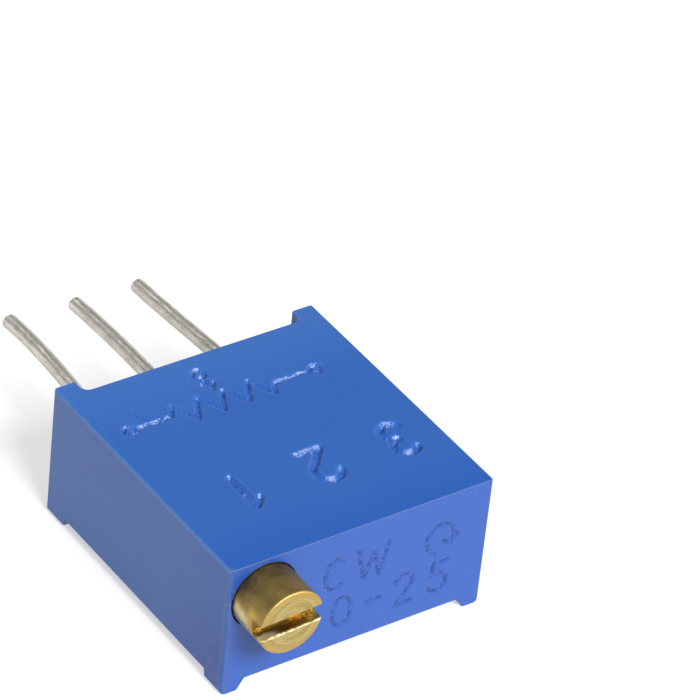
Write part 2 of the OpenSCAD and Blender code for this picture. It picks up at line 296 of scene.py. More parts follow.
class Finish(ABC):
    """A surface finish that can be mixed as a material."""

    name: str

    def mixed(self) -> bpy.types.Material:
        """Returns the finish as a material."""
        return self.lay(Shader(self.name))

    @abstractmethod
    def lay(self, shader: Shader) -> bpy.types.Material:
        """Lays the finish's nodes.

        Args:
            shader: The material while it is laid.

        Returns:
            The finished material.
        """


@dataclass(frozen=True)
class MouldedPlastic(Finish):
    """Satin blue moulding, with rubbed edges, a dusty front corner, and painted light and shade.

    Attributes:
        corner: The corner that the left, adjuster and label faces share.
        bore: X and Z of the screw's axis.
        pin_face: Y of the face that the pins leave by.
        pitch: Distance between the pins, with a channel over each.
    """

    corner: Point
    bore: Flat
    pin_face: float
    pitch: float = 2.54
    name: str = "housing_blue"
    body: Colour = (0.029, 0.131, 0.492)
    faded: Colour = (0.037, 0.143, 0.500)
    # The next two colours paint a sheen gradient along the housing: darker at the adjuster end,
    # paler towards the pins.
    deep: Colour = (0.019, 0.114, 0.492)
    painted_sheen: Colour = (0.052, 0.170, 0.545)
    # painted shade: a darker, less green tint for the adjuster face
    front: Colour = (0.030, 0.112, 0.478)
    shaded: Colour = (0.004, 0.078, 0.400)
    # painted highlight colour, used along the top of the left face
    lip: Colour = (0.050, 0.226, 0.700)
    worn: Colour = (0.10, 0.24, 0.52)
    scuffed: Colour = (0.12, 0.13, 0.18)
    # painted shade colour for the stamped strokes
    painted_stroke_shade: Colour = (0.008, 0.048, 0.250)
    # painted shade colour for the floors of the pin channels
    painted_channel_shade: Colour = (0.018, 0.075, 0.200)
    dust: Colour = (0.22, 0.31, 0.46)

    def lay(self, shader: Shader) -> bpy.types.Material:
        """Lays the finish's nodes.

        Args:
            shader: The material while it is laid.

        Returns:
            The finished material.
        """
        x, y, z = shader.axes()
        left, near = x - self.corner[0], y - self.corner[1]
        cloud = shader.noise(3.0, 4.0).ease(0.35, 0.7)
        grain = shader.noise(0.10, 3.0, 0.6)
        skin = shader.noise(0.45, 2.0)
        rub = shader.noise(0.22, 3.0, 0.7, (1.0, 1.0, 0.6))
        worn = shader.attribute("wear") * (0.25 + 0.75 * rub.ease(0.30, 0.62))
        gloss, stroke_shade = shader.attribute("gloss"), shader.attribute("stroke_shade")
        face = 1 - near.ease(0.015, 0.06)
        flank = 1 - left.ease(0.02, 0.08)
        arris = 1 - (left * left + near * near).root().ease(0.04, 0.34)
        foot = (1 - near.ease(0.2, 4.0)) * (1 - z.ease(1.0, 3.6)) * flank
        across, up = x - self.bore[0], z - self.bore[1]
        # a ring above the screw on the adjuster face, for a painted reflection of the screw's dark
        # crown
        painted_screw_reflection = (1 - (across * across + up * up).root().ease(1.15, 1.65)) * up.ease(-0.2, 0.5)
        # a band along the top of the left face, just under the label edge, for a painted highlight
        lip = (1 - left.ease(0.0, 0.03)) * z.ease(self.corner[2] - 0.20, self.corner[2] - 0.07)
        beside = shader.math("PINGPONG", x, self.pitch / 2)
        # the floors of the pin channels, which take painted shade
        sunk = ((1 - beside.ease(0.28, 0.44)) * (1 - z.ease(4.15, 4.4))
                * (1 - x.size().ease(3.1, 3.2))
                * (1 - y.ease(self.pin_face - 0.05, self.pin_face))
                * y.ease(self.pin_face - 0.3, self.pin_face - 0.25))
        fine = shader.specks(0.14, 0.05) * rub.ease(0.45, 0.6)
        specks = shader.specks(0.55, 0.05) * shader.noise(1.3, 1.0).ease(0.55, 0.7)
        colour = shader.coats(
            self.body,
            (cloud * 0.6, self.faded),
            # painted shade: darker towards the adjuster end, where less sheen shows
            ((1 - near.ease(-0.4, 2.4)) * 0.9, self.deep),
            # painted sheen: paler towards the pin end, less so on the left face
            (near.ease(6.0, 10.2) * (0.9 - 0.55 * flank), self.painted_sheen),
            # painted shade: the adjuster face is tinted darker and less green than the others, for
            # how it takes the light
            (face, self.front),
            # painted shade: darker low on the left face towards the front, where less bright paper
            # is mirrored
            (foot * (0.6 + 0.6 * grain), self.shaded),
            # painted reflection: the adjuster face above and left of the screw is darkened with
            # painted shade
            (face * painted_screw_reflection * (1 - across.ease(-0.2, 1.0)) * 0.9, self.shaded),
            # painted highlight: a pale band for the light that the rounded label edge catches
            (lip * 0.85, self.lip),
            # painted shade: the pin channels are darkened, as the shade that falls in them
            (sunk * 0.7, self.painted_channel_shade),
            (specks * 0.3 + (foot * 0.6 + arris * 0.8) * fine * 0.5, self.dust),
            (worn * 0.6 + arris * 0.22, shader.mix(face * 0.9, self.worn, self.scuffed)),
            # painted shade: the stamped strokes on the adjuster face are darkened, as the shade in
            # their steep walls
            (stroke_shade * 0.85, self.painted_stroke_shade))
        grit = shader.noise(0.09, 2.0, 0.7) * gloss
        rough = (0.28 + 0.10 * skin + 0.30 * worn) * (1 - 0.6 * gloss)
        return shader.surface(colour, rough, grain * 0.7 + skin * 0.6 + grit * 7.5, 0.005)


@dataclass(frozen=True)
class CastingResin(Finish):
    """Blue resin, poured and levelled, a little greener and glossier than the moulding."""

    name: str = "casting_resin"
    body: Colour = (0.036, 0.135, 0.440)
    thin: Colour = (0.050, 0.165, 0.500)
    torn: Colour = (0.200, 0.420, 0.640)

    def lay(self, shader: Shader) -> bpy.types.Material:
        """Lays the finish's nodes.

        Args:
            shader: The material while it is laid.

        Returns:
            The finished material.
        """
        cloud = shader.noise(1.8, 3.0).ease(0.3, 0.7)
        wave = shader.noise(0.9, 2.0)
        grit = shader.noise(0.08, 2.0, 0.6)
        torn = shader.attribute("torn")
        colour = shader.coats(self.body, (cloud * 0.6, self.thin),
                              (torn * grit.ease(0.35, 0.65), self.torn))
        return shader.surface(colour, 0.28 + 0.10 * wave + 0.3 * torn,
                              wave * 0.5 + torn * grit, 0.02)


@dataclass(frozen=True)
class TurnedBrass(Finish):
    """Brass turned on a lathe, with rings on its faces, a tarnished crown, and painted light and
    shade.

    Attributes:
        axis: X and Z of the axis.
        tip_y: Where the head's end face is.
        head: Radius of the head.
        slot_angle: Angle of the slot in degrees.
        slot_width: Width of the slot.
    """

    axis: Flat
    tip_y: float
    head: float
    slot_angle: float
    slot_width: float
    name: str = "brass"
    bright: Colour = (0.46, 0.35, 0.10)
    pale: Colour = (0.86, 0.73, 0.40)
    amber: Colour = (0.60, 0.38, 0.10)
    # tarnished colour, also used as painted shade on the crown
    tarnish_and_shade: Colour = (0.36, 0.25, 0.085)
    brown: Colour = (0.17, 0.105, 0.04)
    # painted shade colour for the inside of the slot
    painted_slot_shade: Colour = (0.18, 0.12, 0.05)

    def lay(self, shader: Shader) -> bpy.types.Material:
        """Lays the finish's nodes.

        Args:
            shader: The material while it is laid.

        Returns:
            The finished material.
        """
        x, y, z = shader.axes()
        across, up = x - self.axis[0], z - self.axis[1]
        radius = (across * across + up * up).root()
        deep = y - self.tip_y
        turned = shader.node("CombineXYZ", {}, {"X": radius * 14, "Y": y * 14, "Z": across * 0.8})
        rings = shader.noise(1.0, 3.0, 0.6, at=turned.outputs[0])
        mottle = shader.noise(0.26, 5.0, 0.65).ease(0.36, 0.64)
        patches = shader.noise(0.35, 3.0, 0.6).ease(0.30, 0.60)
        turn = math.radians(self.slot_angle)
        lie = across * math.cos(turn) - up * math.sin(turn)
        drop = across * math.sin(turn) + up * math.cos(turn)
        height, past = drop.size(), drop - self.slot_width / 2
        inside = ((1 - height.ease(self.slot_width / 2 - 0.01, self.slot_width / 2 + 0.02))
                  * deep.ease(0.01, 0.06) * (1 - deep.ease(0.6, 0.7)))
        side = deep.ease(0.05, 0.12) * radius.ease(self.head * 0.96, self.head * 0.99)
        slope = up - deep * 0.35
        # the top of the head, which takes tarnish and painted shade
        crown = side * slope.ease(-0.40, 0.05) * (1 - deep.ease(1.9, 2.0))
        # the left side of the head, which takes a painted reflection
        flank = side * (0 - across).ease(0.25, 0.75) * (1 - slope.ease(-0.25, 0.15))
        face = 1 - deep.ease(0.01, 0.05)
        rim = face * radius.ease(self.head * 0.62, self.head * 0.98)
        lip = (1 - past.ease(0.03, 0.07)) * past.ease(-0.03, 0.0) * (1 - deep.ease(0.06, 0.10))
        # a patch inside the slot that takes a painted glow
        glow = inside * lie.ease(-0.9, -0.45) * (1 - lie.ease(-0.35, -0.1))
        worn = (inside * past.ease(-0.05, -0.02) * lie.ease(0.25, 0.65)
                * (1 - deep.ease(0.18, 0.38)) * (0.6 + 0.4 * mottle))
        stain = side * lie.ease(0.95, 1.05) * deep.ease(0.25, 0.45) * (1 - deep.ease(0.6, 0.85))
        colour = shader.coats(
            self.bright,
            (mottle * 0.45, self.tarnish_and_shade),
            (face * rings.ease(0.35, 0.65) * 0.34, self.pale),
            (rim * (0.25 + 0.75 * patches) * 0.7, self.amber),
            # painted reflection: the left flank is paler, as the bright paper mirrored in it
            (flank * (0.66 - 0.25 * mottle), self.pale),
            # tarnish and painted shade: the crown is darker than the rest of the head
            (crown * (0.70 + 0.30 * mottle), self.tarnish_and_shade),
            # painted shade and tarnish: the crown darkens further towards the back
            (crown * deep.ease(0.5, 1.5) * (0.25 + 0.5 * patches), self.brown),
            # painted shade: the inside of the slot is darkened, less so near one end
            (inside * (0.55 + 0.45 * patches) * (0.35 + 0.65 * lie.ease(-1.05, -0.8)), self.painted_slot_shade),
            (lip * (0.2 + 0.7 * patches), self.pale),
            # painted light: an amber glow inside the slot, as light bounced within the brass
            (glow * 0.8, self.amber),
            (worn * 0.9, self.pale),
            (stain * (1 - height.ease(0.45, 0.75)) * 0.8, self.amber))
        edge = radius.ease(self.head * 0.94, self.head * 0.98) * (1 - deep.ease(0.06, 0.10))
        dull = 0.24 + 0.14 * mottle + crown * 0.20 + (worn + lip + edge) * 0.25
        return shader.surface(colour, dull, rings * 0.6 + mottle * 0.6, 0.012,
                              {"Metallic": 1 - 0.75 * worn})


@dataclass(frozen=True)
class TinnedWire(Finish):
    """Copper wire dipped in tin, with drawn streaks, bare copper on its cut ends and painted shade
    below.
    """

    wire_z: float
    name: str = "tinned_wire"
    tin: Colour = (0.86, 0.83, 0.78)
    dull: Colour = (0.50, 0.46, 0.37)
    copper: Colour = (0.80, 0.36, 0.18)

    def lay(self, shader: Shader) -> bpy.types.Material:
        """Lays the finish's nodes.

        Args:
            shader: The material while it is laid.

        Returns:
            The finished material.
        """
        x, _, z = shader.axes()
        streak = shader.noise(0.06, 4.0, 0.7, (1.0, 0.28, 1.0))
        cloud = shader.noise(0.5, 3.0).ease(0.3, 0.7)
        smear = z + shader.noise(0.12, 2.0) * 0.2
        bare = shader.attribute("cut") * smear.ease(self.wire_z - 0.02, self.wire_z + 0.10)
        # the lower side of the wire, which takes painted shade
        below = 1 - z.ease(self.wire_z - 0.10, self.wire_z + 0.14)
        colour = shader.coats(
            self.tin,
            (streak.ease(0.35, 0.7) * 0.6 + cloud * 0.25, self.dull),
            # painted shade: the lower side of the wire is duller and darker, most on the left pin
            (below * (0.95 - 0.35 * x.ease(-2.9, -0.4)), self.dull),
            (bare, self.copper))
        return shader.surface(colour, 0.30 + 0.14 * cloud, streak, 0.012, {"Metallic": 0.9})


@dataclass(frozen=True)
class SealRubber(Finish):
    """Black rubber with a fine bloom."""

    name: str = "seal_rubber"
    body: Colour = (0.020, 0.020, 0.021)
    bloom: Colour = (0.060, 0.060, 0.062)

    def lay(self, shader: Shader) -> bpy.types.Material:
        """Lays the finish's nodes.

        Args:
            shader: The material while it is laid.

        Returns:
            The finished material.
        """
        bloom = shader.noise(0.15, 4.0, 0.7)
        colour = shader.mix(bloom.ease(0.4, 0.7), self.body, self.bloom)
        return shader.surface(colour, 0.55 + 0.2 * bloom, bloom, 0.006)


@dataclass(frozen=True)
class SheetMetal(Finish):
    """Rolled sheet metal with fine rolling lines."""

    name: str
    body: Colour
    stain: Colour
    grain: Point
    dullness: float = 0.28

    def lay(self, shader: Shader) -> bpy.types.Material:
        """Lays the finish's nodes.

        Args:
            shader: The material while it is laid.

        Returns:
            The finished material.
        """
        lines = shader.noise(0.06, 3.0, 0.6, self.grain)
        cloud = shader.noise(0.8, 3.0).ease(0.35, 0.7)
        colour = shader.mix(cloud * 0.5, self.body, self.stain)
        return shader.surface(colour, self.dullness + 0.15 * lines, lines, 0.006,
                              {"Metallic": 1.0})


@dataclass(frozen=True)
class CarriagePlastic(Finish):
    """Cream engineering plastic with a fine flow pattern."""

    name: str = "carriage_plastic"
    body: Colour = (0.66, 0.60, 0.46)
    flow: Colour = (0.56, 0.49, 0.35)

    def lay(self, shader: Shader) -> bpy.types.Material:
        """Lays the finish's nodes.

        Args:
            shader: The material while it is laid.

        Returns:
            The finished material.
        """
        flow = shader.noise(0.7, 4.0, 0.6, (1.0, 0.4, 1.0))
        grain = shader.noise(0.08, 2.0)
        colour = shader.mix(flow.ease(0.35, 0.65) * 0.6, self.body, self.flow)
        return shader.surface(colour, 0.42 + 0.1 * grain, grain + flow, 0.006)


@dataclass(frozen=True)
class Alumina(Finish):
    """White fired ceramic with a faint grain and snapped edges."""

    name: str = "alumina"
    body: Colour = (0.80, 0.79, 0.75)
    cast: Colour = (0.70, 0.68, 0.62)

    def lay(self, shader: Shader) -> bpy.types.Material:
        """Lays the finish's nodes.

        Args:
            shader: The material while it is laid.

        Returns:
            The finished material.
        """
        grain = shader.noise(0.05, 3.0, 0.7)
        cloud = shader.noise(1.2, 3.0).ease(0.35, 0.7)
        colour = shader.mix(cloud * 0.5 + grain * 0.2, self.body, self.cast)
        return shader.surface(colour, 0.55 + 0.15 * grain, grain, 0.005)


@dataclass(frozen=True)
class FiredInk(Finish):
    """Thick-film ink with the weave of its printing screen."""

    name: str
    body: Colour
    ridge: Colour
    metallic: float = 0.0
    dullness: float = 0.35
    threads: float = 70.0

    def lay(self, shader: Shader) -> bpy.types.Material:
        """Lays the finish's nodes.

        Args:
            shader: The material while it is laid.

        Returns:
            The finished material.
        """
        x, y, _ = shader.axes()
        threads = [shader.math("SINE", axis * self.threads) for axis in (x, y)]
        weave = threads[0] * threads[1] * 0.5 + 0.5
        grain = shader.noise(0.06, 3.0, 0.6)
        colour = shader.mix(weave * 0.35 + grain * 0.4, self.body, self.ridge)
        return shader.surface(colour, self.dullness + 0.2 * grain, weave + grain, 0.004,
                              {"Metallic": self.metallic})


@dataclass(frozen=True)
class Solder(Finish):
    """Tin solder, bright with faint frost lines."""

    name: str = "solder"
    body: Colour = (0.66, 0.66, 0.65)
    frost: Colour = (0.48, 0.48, 0.49)

    def lay(self, shader: Shader) -> bpy.types.Material:
        """Lays the finish's nodes.

        Args:
            shader: The material while it is laid.

        Returns:
            The finished material.
        """
        frost = shader.noise(0.18, 4.0, 0.65)
        colour = shader.mix(frost.ease(0.4, 0.65), self.body, self.frost)
        return shader.surface(colour, 0.18 + 0.25 * frost, frost, 0.012, {"Metallic": 1.0})


@dataclass(frozen=True)
class StudioPaper(Finish):
    """White paper under the part. What looks at it sees it bright, and it keeps the shadow."""

    name: str = "studio_paper"
    paper: Colour = (0.60, 0.60, 0.60)
    lift: float = 0.56
    shine: float = 0.44

    def lay(self, shader: Shader) -> bpy.types.Material:
        """Lays the finish's nodes.

        Args:
            shader: The material while it is laid.

        Returns:
            The finished material.
        """
        fibre = shader.noise(0.8, 2.0)
        glow = shader.coats((0.0, 0.0, 0.0), (shader.rays("Glossy"), (self.shine,) * 3),
                            (shader.rays("Camera"), (self.lift,) * 3))
        return shader.surface(self.paper, 0.85 + 0.1 * fibre, None, 0.0,
                              {"Emission Color": glow, "Emission Strength": 1.0,
                               "Specular IOR Level": 0.0})


# ---------------------------------------------------------------- modelling

def gaps(points: np.ndarray, start: np.ndarray, end: np.ndarray) -> np.ndarray:
    """Measures from points to a straight piece.

    Args:
        points: The points, one to a row.
        start: One end of the piece.
        end: Its other end.

    Returns:
        How far each point is from the piece.
    """
    span = end - start
    t = np.clip((points - start) @ span / max(span @ span, 1e-12), 0, 1)
    return np.linalg.norm(points - start - t[:, None] * span, axis=1)


def rim(faces: Iterable[bpy.types.MeshPolygon]) -> set[tuple[int, int]]:
    """Returns the edges that only one of the faces has, as pairs of points."""
    uses = Counter(key for face in faces for key in face.edge_keys)
    return {key for key, times in uses.items() if times == 1}


class Bench:
    """The modelling steps that the pieces share."""

    @staticmethod
    def clear() -> None:
        """Leaves nothing selected."""
        if bpy.context.object and bpy.context.object.mode != "OBJECT":
            bpy.ops.object.mode_set(mode="OBJECT")
        bpy.ops.object.select_all(action="DESELECT")

    @classmethod
    def hold(cls, *pieces: bpy.types.Object) -> None:
        """Selects pieces alone.

        Args:
            pieces: The pieces, the first of which becomes active.
        """
        cls.clear()
        for piece in pieces:
            piece.select_set(True)
        bpy.context.view_layer.objects.active = pieces[0]

    @classmethod
    def join(cls, *pieces: bpy.types.Object) -> None:
        """Joins pieces into the first one."""
        cls.hold(*pieces)
        bpy.ops.object.join()

    @classmethod
    def freeze(cls, piece: bpy.types.Object) -> None:
        """Applies a piece's place, turn and scale to its mesh."""
        cls.hold(piece)
        bpy.ops.object.transform_apply(location=True, rotation=True, scale=True)

    @classmethod
    def edit(cls, piece: bpy.types.Object, step: Callable[[], object]) -> None:
        """Runs one modelling step in edit mode, on what is selected.

        Args:
            piece: The piece that is edited.
            step: The step.
        """
        cls.hold(piece)
        bpy.ops.object.mode_set(mode="EDIT")
        step()
        bpy.ops.object.mode_set(mode="OBJECT")

    @classmethod
    def edit_all(cls, piece: bpy.types.Object, step: Callable[[], object]) -> None:
        """Runs one modelling step on the whole of a piece."""
        cls.edit(piece, lambda: (bpy.ops.mesh.select_all(action="SELECT"), step()))

    @classmethod
    def pick(cls, piece: bpy.types.Object, kind: str, chosen: Iterable[int]) -> int:
        """Selects only the given points, edges or faces of a piece.

        Args:
            piece: The piece.
            kind: VERT, EDGE or FACE.
            chosen: Their numbers.

        Returns:
            How many were selected.
        """
        cls.edit(piece, lambda: (bpy.ops.mesh.select_mode(type=kind),
                                 bpy.ops.mesh.select_all(action="DESELECT")))
        mesh = piece.data
        items = {"VERT": mesh.vertices, "EDGE": mesh.edges, "FACE": mesh.polygons}[kind]
        chosen = set(chosen)
        items.foreach_set("select", [index in chosen for index in range(len(items))])
        return len(chosen)

    @classmethod
    def remove(cls, piece: bpy.types.Object, kind: str, chosen: Iterable[int]) -> None:
        """Deletes the given edges or faces of a piece."""
        cls.pick(piece, kind, chosen)
        cls.edit(piece, lambda: bpy.ops.mesh.delete(type=kind))

    @staticmethod
    def points(piece: bpy.types.Object) -> np.ndarray:
        """Reads the points of a piece.

        Args:
            piece: The piece.

        Returns:
            Its points as rows of X, Y and Z.
        """
        flat = np.empty(len(piece.data.vertices) * 3)
        piece.data.vertices.foreach_get("co", flat)
        return flat.reshape(-1, 3)

    @staticmethod
    def note(piece: bpy.types.Object, name: str, values: Iterable[float]) -> None:
        """Writes a number on each point of a piece, for its finish."""
        piece.data.attributes.new(name, "FLOAT", "POINT").data.foreach_set("value", values)

    @classmethod
    def from_cad(cls, node: str, name: str) -> bpy.types.Object:
        """Copies a CAD node in millimetres, merges its loose triangles and joins flat faces.

        Args:
            node: The CAD node.
            name: Name of the copy.

        Returns:
            The copy, with its own mesh.
        """
        piece = bpy.data.objects.new(name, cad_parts[node].data.copy())
        bpy.context.scene.collection.objects.link(piece)
        piece.data.materials.clear()
        piece.data.transform(Matrix.Scale(1 / MM, 4))
        cls.hold(piece)
        bpy.ops.mesh.customdata_custom_splitnormals_clear()
        cls.edit_all(piece, lambda: (
            bpy.ops.mesh.remove_doubles(threshold=0.0015),
            bpy.ops.mesh.mark_sharp(clear=True),
            bpy.ops.mesh.dissolve_limited(angle_limit=math.radians(0.4))))
        return piece

    @classmethod
    def apply(cls, piece: bpy.types.Object, kind: str, **settings: object) -> None:
        """Adds a modifier and applies it.

        Args:
            piece: The piece that takes it.
            kind: The modifier's type.
            settings: Its settings.
        """
        cls.hold(piece)
        modifier = piece.modifiers.new(kind.lower(), kind)
        for key, value in settings.items():
            setattr(modifier, key, value)
        bpy.ops.object.modifier_apply(modifier=modifier.name)

    @classmethod
    def add(cls, name: str, maker: Callable[..., object], **settings: object,
            ) -> bpy.types.Object:
        """Adds a plain shape under a name.

        Args:
            name: Name of the piece.
            maker: The tool that adds the shape.
            settings: The tool's settings.

        Returns:
            The new piece.
        """
        cls.clear()
        maker(**settings)
        bpy.context.object.name = name
        return bpy.context.object

    @classmethod
    def lathe(cls, name: str, outline: Sequence[Flat], centre: Flat, steps: int,
              ) -> bpy.types.Object:
        """Turns an outline of radius and Y into a solid round an axis along Y.

        Args:
            name: Name of the piece.
            outline: Its points, from the axis at one end to the axis at the other.
            centre: X and Z of the axis.
            steps: Number of steps in a turn.

        Returns:
            The turned piece.
        """
        piece = cls.add(name, bpy.ops.mesh.primitive_circle_add, vertices=len(outline),
                        radius=1.0)
        for vertex, (radius, y) in zip(piece.data.vertices, outline):
            vertex.co = (centre[0] + radius, y, centre[1])
        ends = {0, len(outline) - 1}
        cls.remove(piece, "EDGE", [e.index for e in piece.data.edges if set(e.vertices) == ends])

        def turn() -> None:
            """Spins the outline and closes the seam and the poles."""
            bpy.ops.mesh.select_mode(type="VERT")
            bpy.ops.mesh.select_all(action="SELECT")
            bpy.ops.mesh.spin(steps=steps, angle=2 * math.pi, center=(centre[0], 0, centre[1]),
                              axis=(0, 1, 0))
            bpy.ops.mesh.select_all(action="SELECT")
            bpy.ops.mesh.remove_doubles(threshold=1e-4)
            bpy.ops.mesh.normals_make_consistent(inside=False)

        cls.edit(piece, turn)
        return piece

    @classmethod
    def smooth(cls, piece: bpy.types.Object, angle: float = 40.0) -> None:
        """Shades a piece smooth, led by its larger faces.

        Args:
            piece: The piece.
            angle: The angle in degrees above which an edge stays sharp.
        """
        cls.hold(piece)
        bpy.ops.object.shade_smooth_by_angle(angle=math.radians(angle))
        cls.apply(piece, "WEIGHTED_NORMAL", keep_sharp=True)

    @classmethod
    def deliver(cls, piece: bpy.types.Object, finish: bpy.types.Material, body: str,
                slot: str, node: str) -> bpy.types.Object:
        """Scales a piece down to metres, gives it its finish and lets it ride on a body.

        Args:
            piece: The piece, in millimetres.
            finish: Its material.
            body: The CAD body that it moves with.
            slot: The record's material slot. It is not used.
            node: The CAD node that it stands for.

        Returns:
            The finished piece.
        """
        piece.scale = (MM, MM, MM)
        cls.freeze(piece)
        piece.data.materials.clear()
        piece.data.materials.append(finish)
        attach(piece, body)
        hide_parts(node)
        cls.clear()
        return piece


@dataclass(frozen=True)
class Extent:
    """The box of a CAD node in millimetres."""

    low: Vector
    high: Vector

    @classmethod
    def of(cls, node: str) -> "Extent":
        """Reads the box of a CAD node."""
        low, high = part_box(node)
        return cls(low / MM, high / MM)

    @property
    def middle(self) -> Vector:
        """Middle of the box."""
        return (self.low + self.high) / 2


# ---------------------------------------------------------------- marks in the moulding

def arc(centre: Flat, radii: Flat, start: float, end: float, steps: int = 18) -> Stroke:
    """Draws an arc of an ellipse.

    Args:
        centre: Its middle.
        radii: Its radii across and up.
        start: Angle of its start in degrees.
        end: Angle of its end.
        steps: Number of its points.

    Returns:
        The points of the arc.
    """
    angles = np.radians(np.linspace(start, end, steps))
    return [(centre[0] + radii[0] * math.cos(a), centre[1] + radii[1] * math.sin(a))
            for a in angles]


def ring(centre: Flat, radius: float) -> Stroke:
    """Returns the points of a whole circle."""
    return arc(centre, (radius, radius), 0, 360, 24)


class Sign(Enum):
    """Plain signs, drawn in a cell one unit high, and the circuit sign in millimetres."""

    ONE = ([(0.12, 0.78), (0.34, 1.0), (0.34, 0.0)],)
    TWO = (arc((0.30, 0.71), (0.29, 0.29), 165, -38) + [(0.53, 0.53), (0.04, 0.0), (0.60, 0.0)],)
    THREE = (arc((0.28, 0.75), (0.25, 0.25), 150, -90),
             arc((0.28, 0.25), (0.25, 0.25), 90, -150))
    FIVE = ([(0.56, 1.0), (0.12, 1.0), (0.07, 0.58)] + arc((0.28, 0.32), (0.30, 0.32), 125, -150),)
    ZERO = (arc((0.32, 0.50), (0.30, 0.50), 0, 360, 28),)
    BAR = ([(0.08, 0.5), (0.52, 0.5)],)
    LETTER_C = (arc((0.34, 0.50), (0.32, 0.50), 50, 310, 24),)
    LETTER_W = ([(0.0, 1.0), (0.24, 0.0), (0.48, 0.85), (0.72, 0.0), (0.96, 1.0)],)
    CLOCKWISE = (arc((0.46, 0.48), (0.42, 0.46), 250, -30, 26),
                 [(0.58, 0.36), (0.83, 0.22), (1.02, 0.46)])
    CIRCUIT = (ring((0.2, 0.0), 0.2), ring((7.0, 0.0), 0.2), ring((3.6, -1.45), 0.2),
               [(0.4, 0.0), (1.728, 0.0),
                *((1.728 + 0.468 * (i + 0.5), 0.45 * (-1) ** i) for i in range(8)),
                (5.472, 0.0), (6.8, 0.0)],
               [(3.6, -1.25), (3.6, -0.6)], [(3.4, -0.9), (3.6, -0.6), (3.8, -0.9)])


@dataclass(frozen=True)
class Mark:
    """A sign at a place on a face, in the face's own two directions."""

    sign: Sign
    corner: Flat
    height: float

    def segments(self) -> list[tuple[np.ndarray, np.ndarray]]:
        """Cuts the sign's strokes into straight pieces.

        Returns:
            The pieces as pairs of end points.
        """
        strokes = [np.array(self.corner) + np.array(stroke) * self.height
                   for stroke in self.sign.value]
        return [ends for points in strokes for ends in zip(points, points[1:])]


@dataclass(frozen=True)
class Relief:
    """A patch of a flat face with marks sunk into it.

    Attributes:
        origin: Lower left corner of the patch.
        along: Direction in which the marks are read.
        up: Direction of their tops.
        size: Width and height of the patch.
        marks: The marks on it.
        half_width: Half the width of a groove.
        depth: Depth of a groove.
        rag: How ragged the groove is, from 0 to 1.
        stamped: Whether the strokes are shallow and blotchy, as from a worn stamp, and darkened by
            painted shade.
        cell: Distance between the patch's points.
        border: Width of the flat border of the patch.
        waver: How often the groove's edge wanders, in one millimetre.
        grit: How often its floor is uneven, in one millimetre.
    """

    origin: Point
    along: Point
    up: Point
    size: Flat
    marks: tuple[Mark, ...]
    half_width: float
    depth: float
    rag: float
    stamped: bool = False
    cell: float = 0.035
    border: float = 0.05
    waver: float = 6.0
    grit: float = 13.0

    def _press(self, place: np.ndarray) -> tuple[np.ndarray, np.ndarray]:
        """Works out the grooves.

        Args:
            place: The points of the patch, across and up.

        Returns:
            How far each point stands out of the face, and how far it is in a groove.
        """
        wobble, grit = (np.array([noise.noise((a * rate, b * rate, layer)) for a, b in place])
                        for rate, layer in ((self.waver, 3.0), (self.grit, 7.0)))
        distance = np.full(len(place), np.inf)
        for start, end in (ends for mark in self.marks for ends in mark.segments()):
            distance = np.minimum(distance, gaps(place, start, end))
        across = (distance + self.rag * 0.05 * wobble) / self.half_width
        fade = np.clip(np.minimum(place, self.size - place).min(axis=1) / self.border, 0, 1)
        if self.stamped:
            body = np.clip(1.2 - across ** 2, 0, 1)
            inside = body * np.clip(0.55 + 1.9 * wobble + 1.5 * grit, 0, 1)
            height = -self.depth * (0.3 * body + 0.7 * inside) + 0.03 * self.rag * grit * body
        else:
            inside = np.clip(1 - across ** 2, 0, 1)
            height = -self.depth * inside ** 2 * (1 + 0.9 * self.rag * wobble)
            height += self.rag * 0.045 * grit * inside
        return height * fade, inside * fade

    def made(self) -> bpy.types.Object:
        """Makes the patch as a fine grid with the marks pressed into it.

        Returns:
            The patch.
        """
        columns, rows = (round(length / self.cell) for length in self.size)
        piece = Bench.add("relief", bpy.ops.mesh.primitive_grid_add, x_subdivisions=columns,
                          y_subdivisions=rows, size=1.0)
        place = (Bench.points(piece)[:, :2] + 0.5) * self.size
        along, up = np.array(self.along), np.array(self.up)
        height, inside = self._press(place)
        points = (np.array(self.origin) + place @ np.array((along, up))
                  + height[:, None] * np.cross(along, up))
        piece.data.vertices.foreach_set("co", points.ravel())
        Bench.note(piece, "gloss", inside * (0.6 if self.stamped else 1.0))
        # the stamped strokes are noted for the painted shade that darkens them
        Bench.note(piece, "stroke_shade", inside * float(self.stamped))
        piece.data.update()
        return piece


# ---------------------------------------------------------------- sub-assemblies

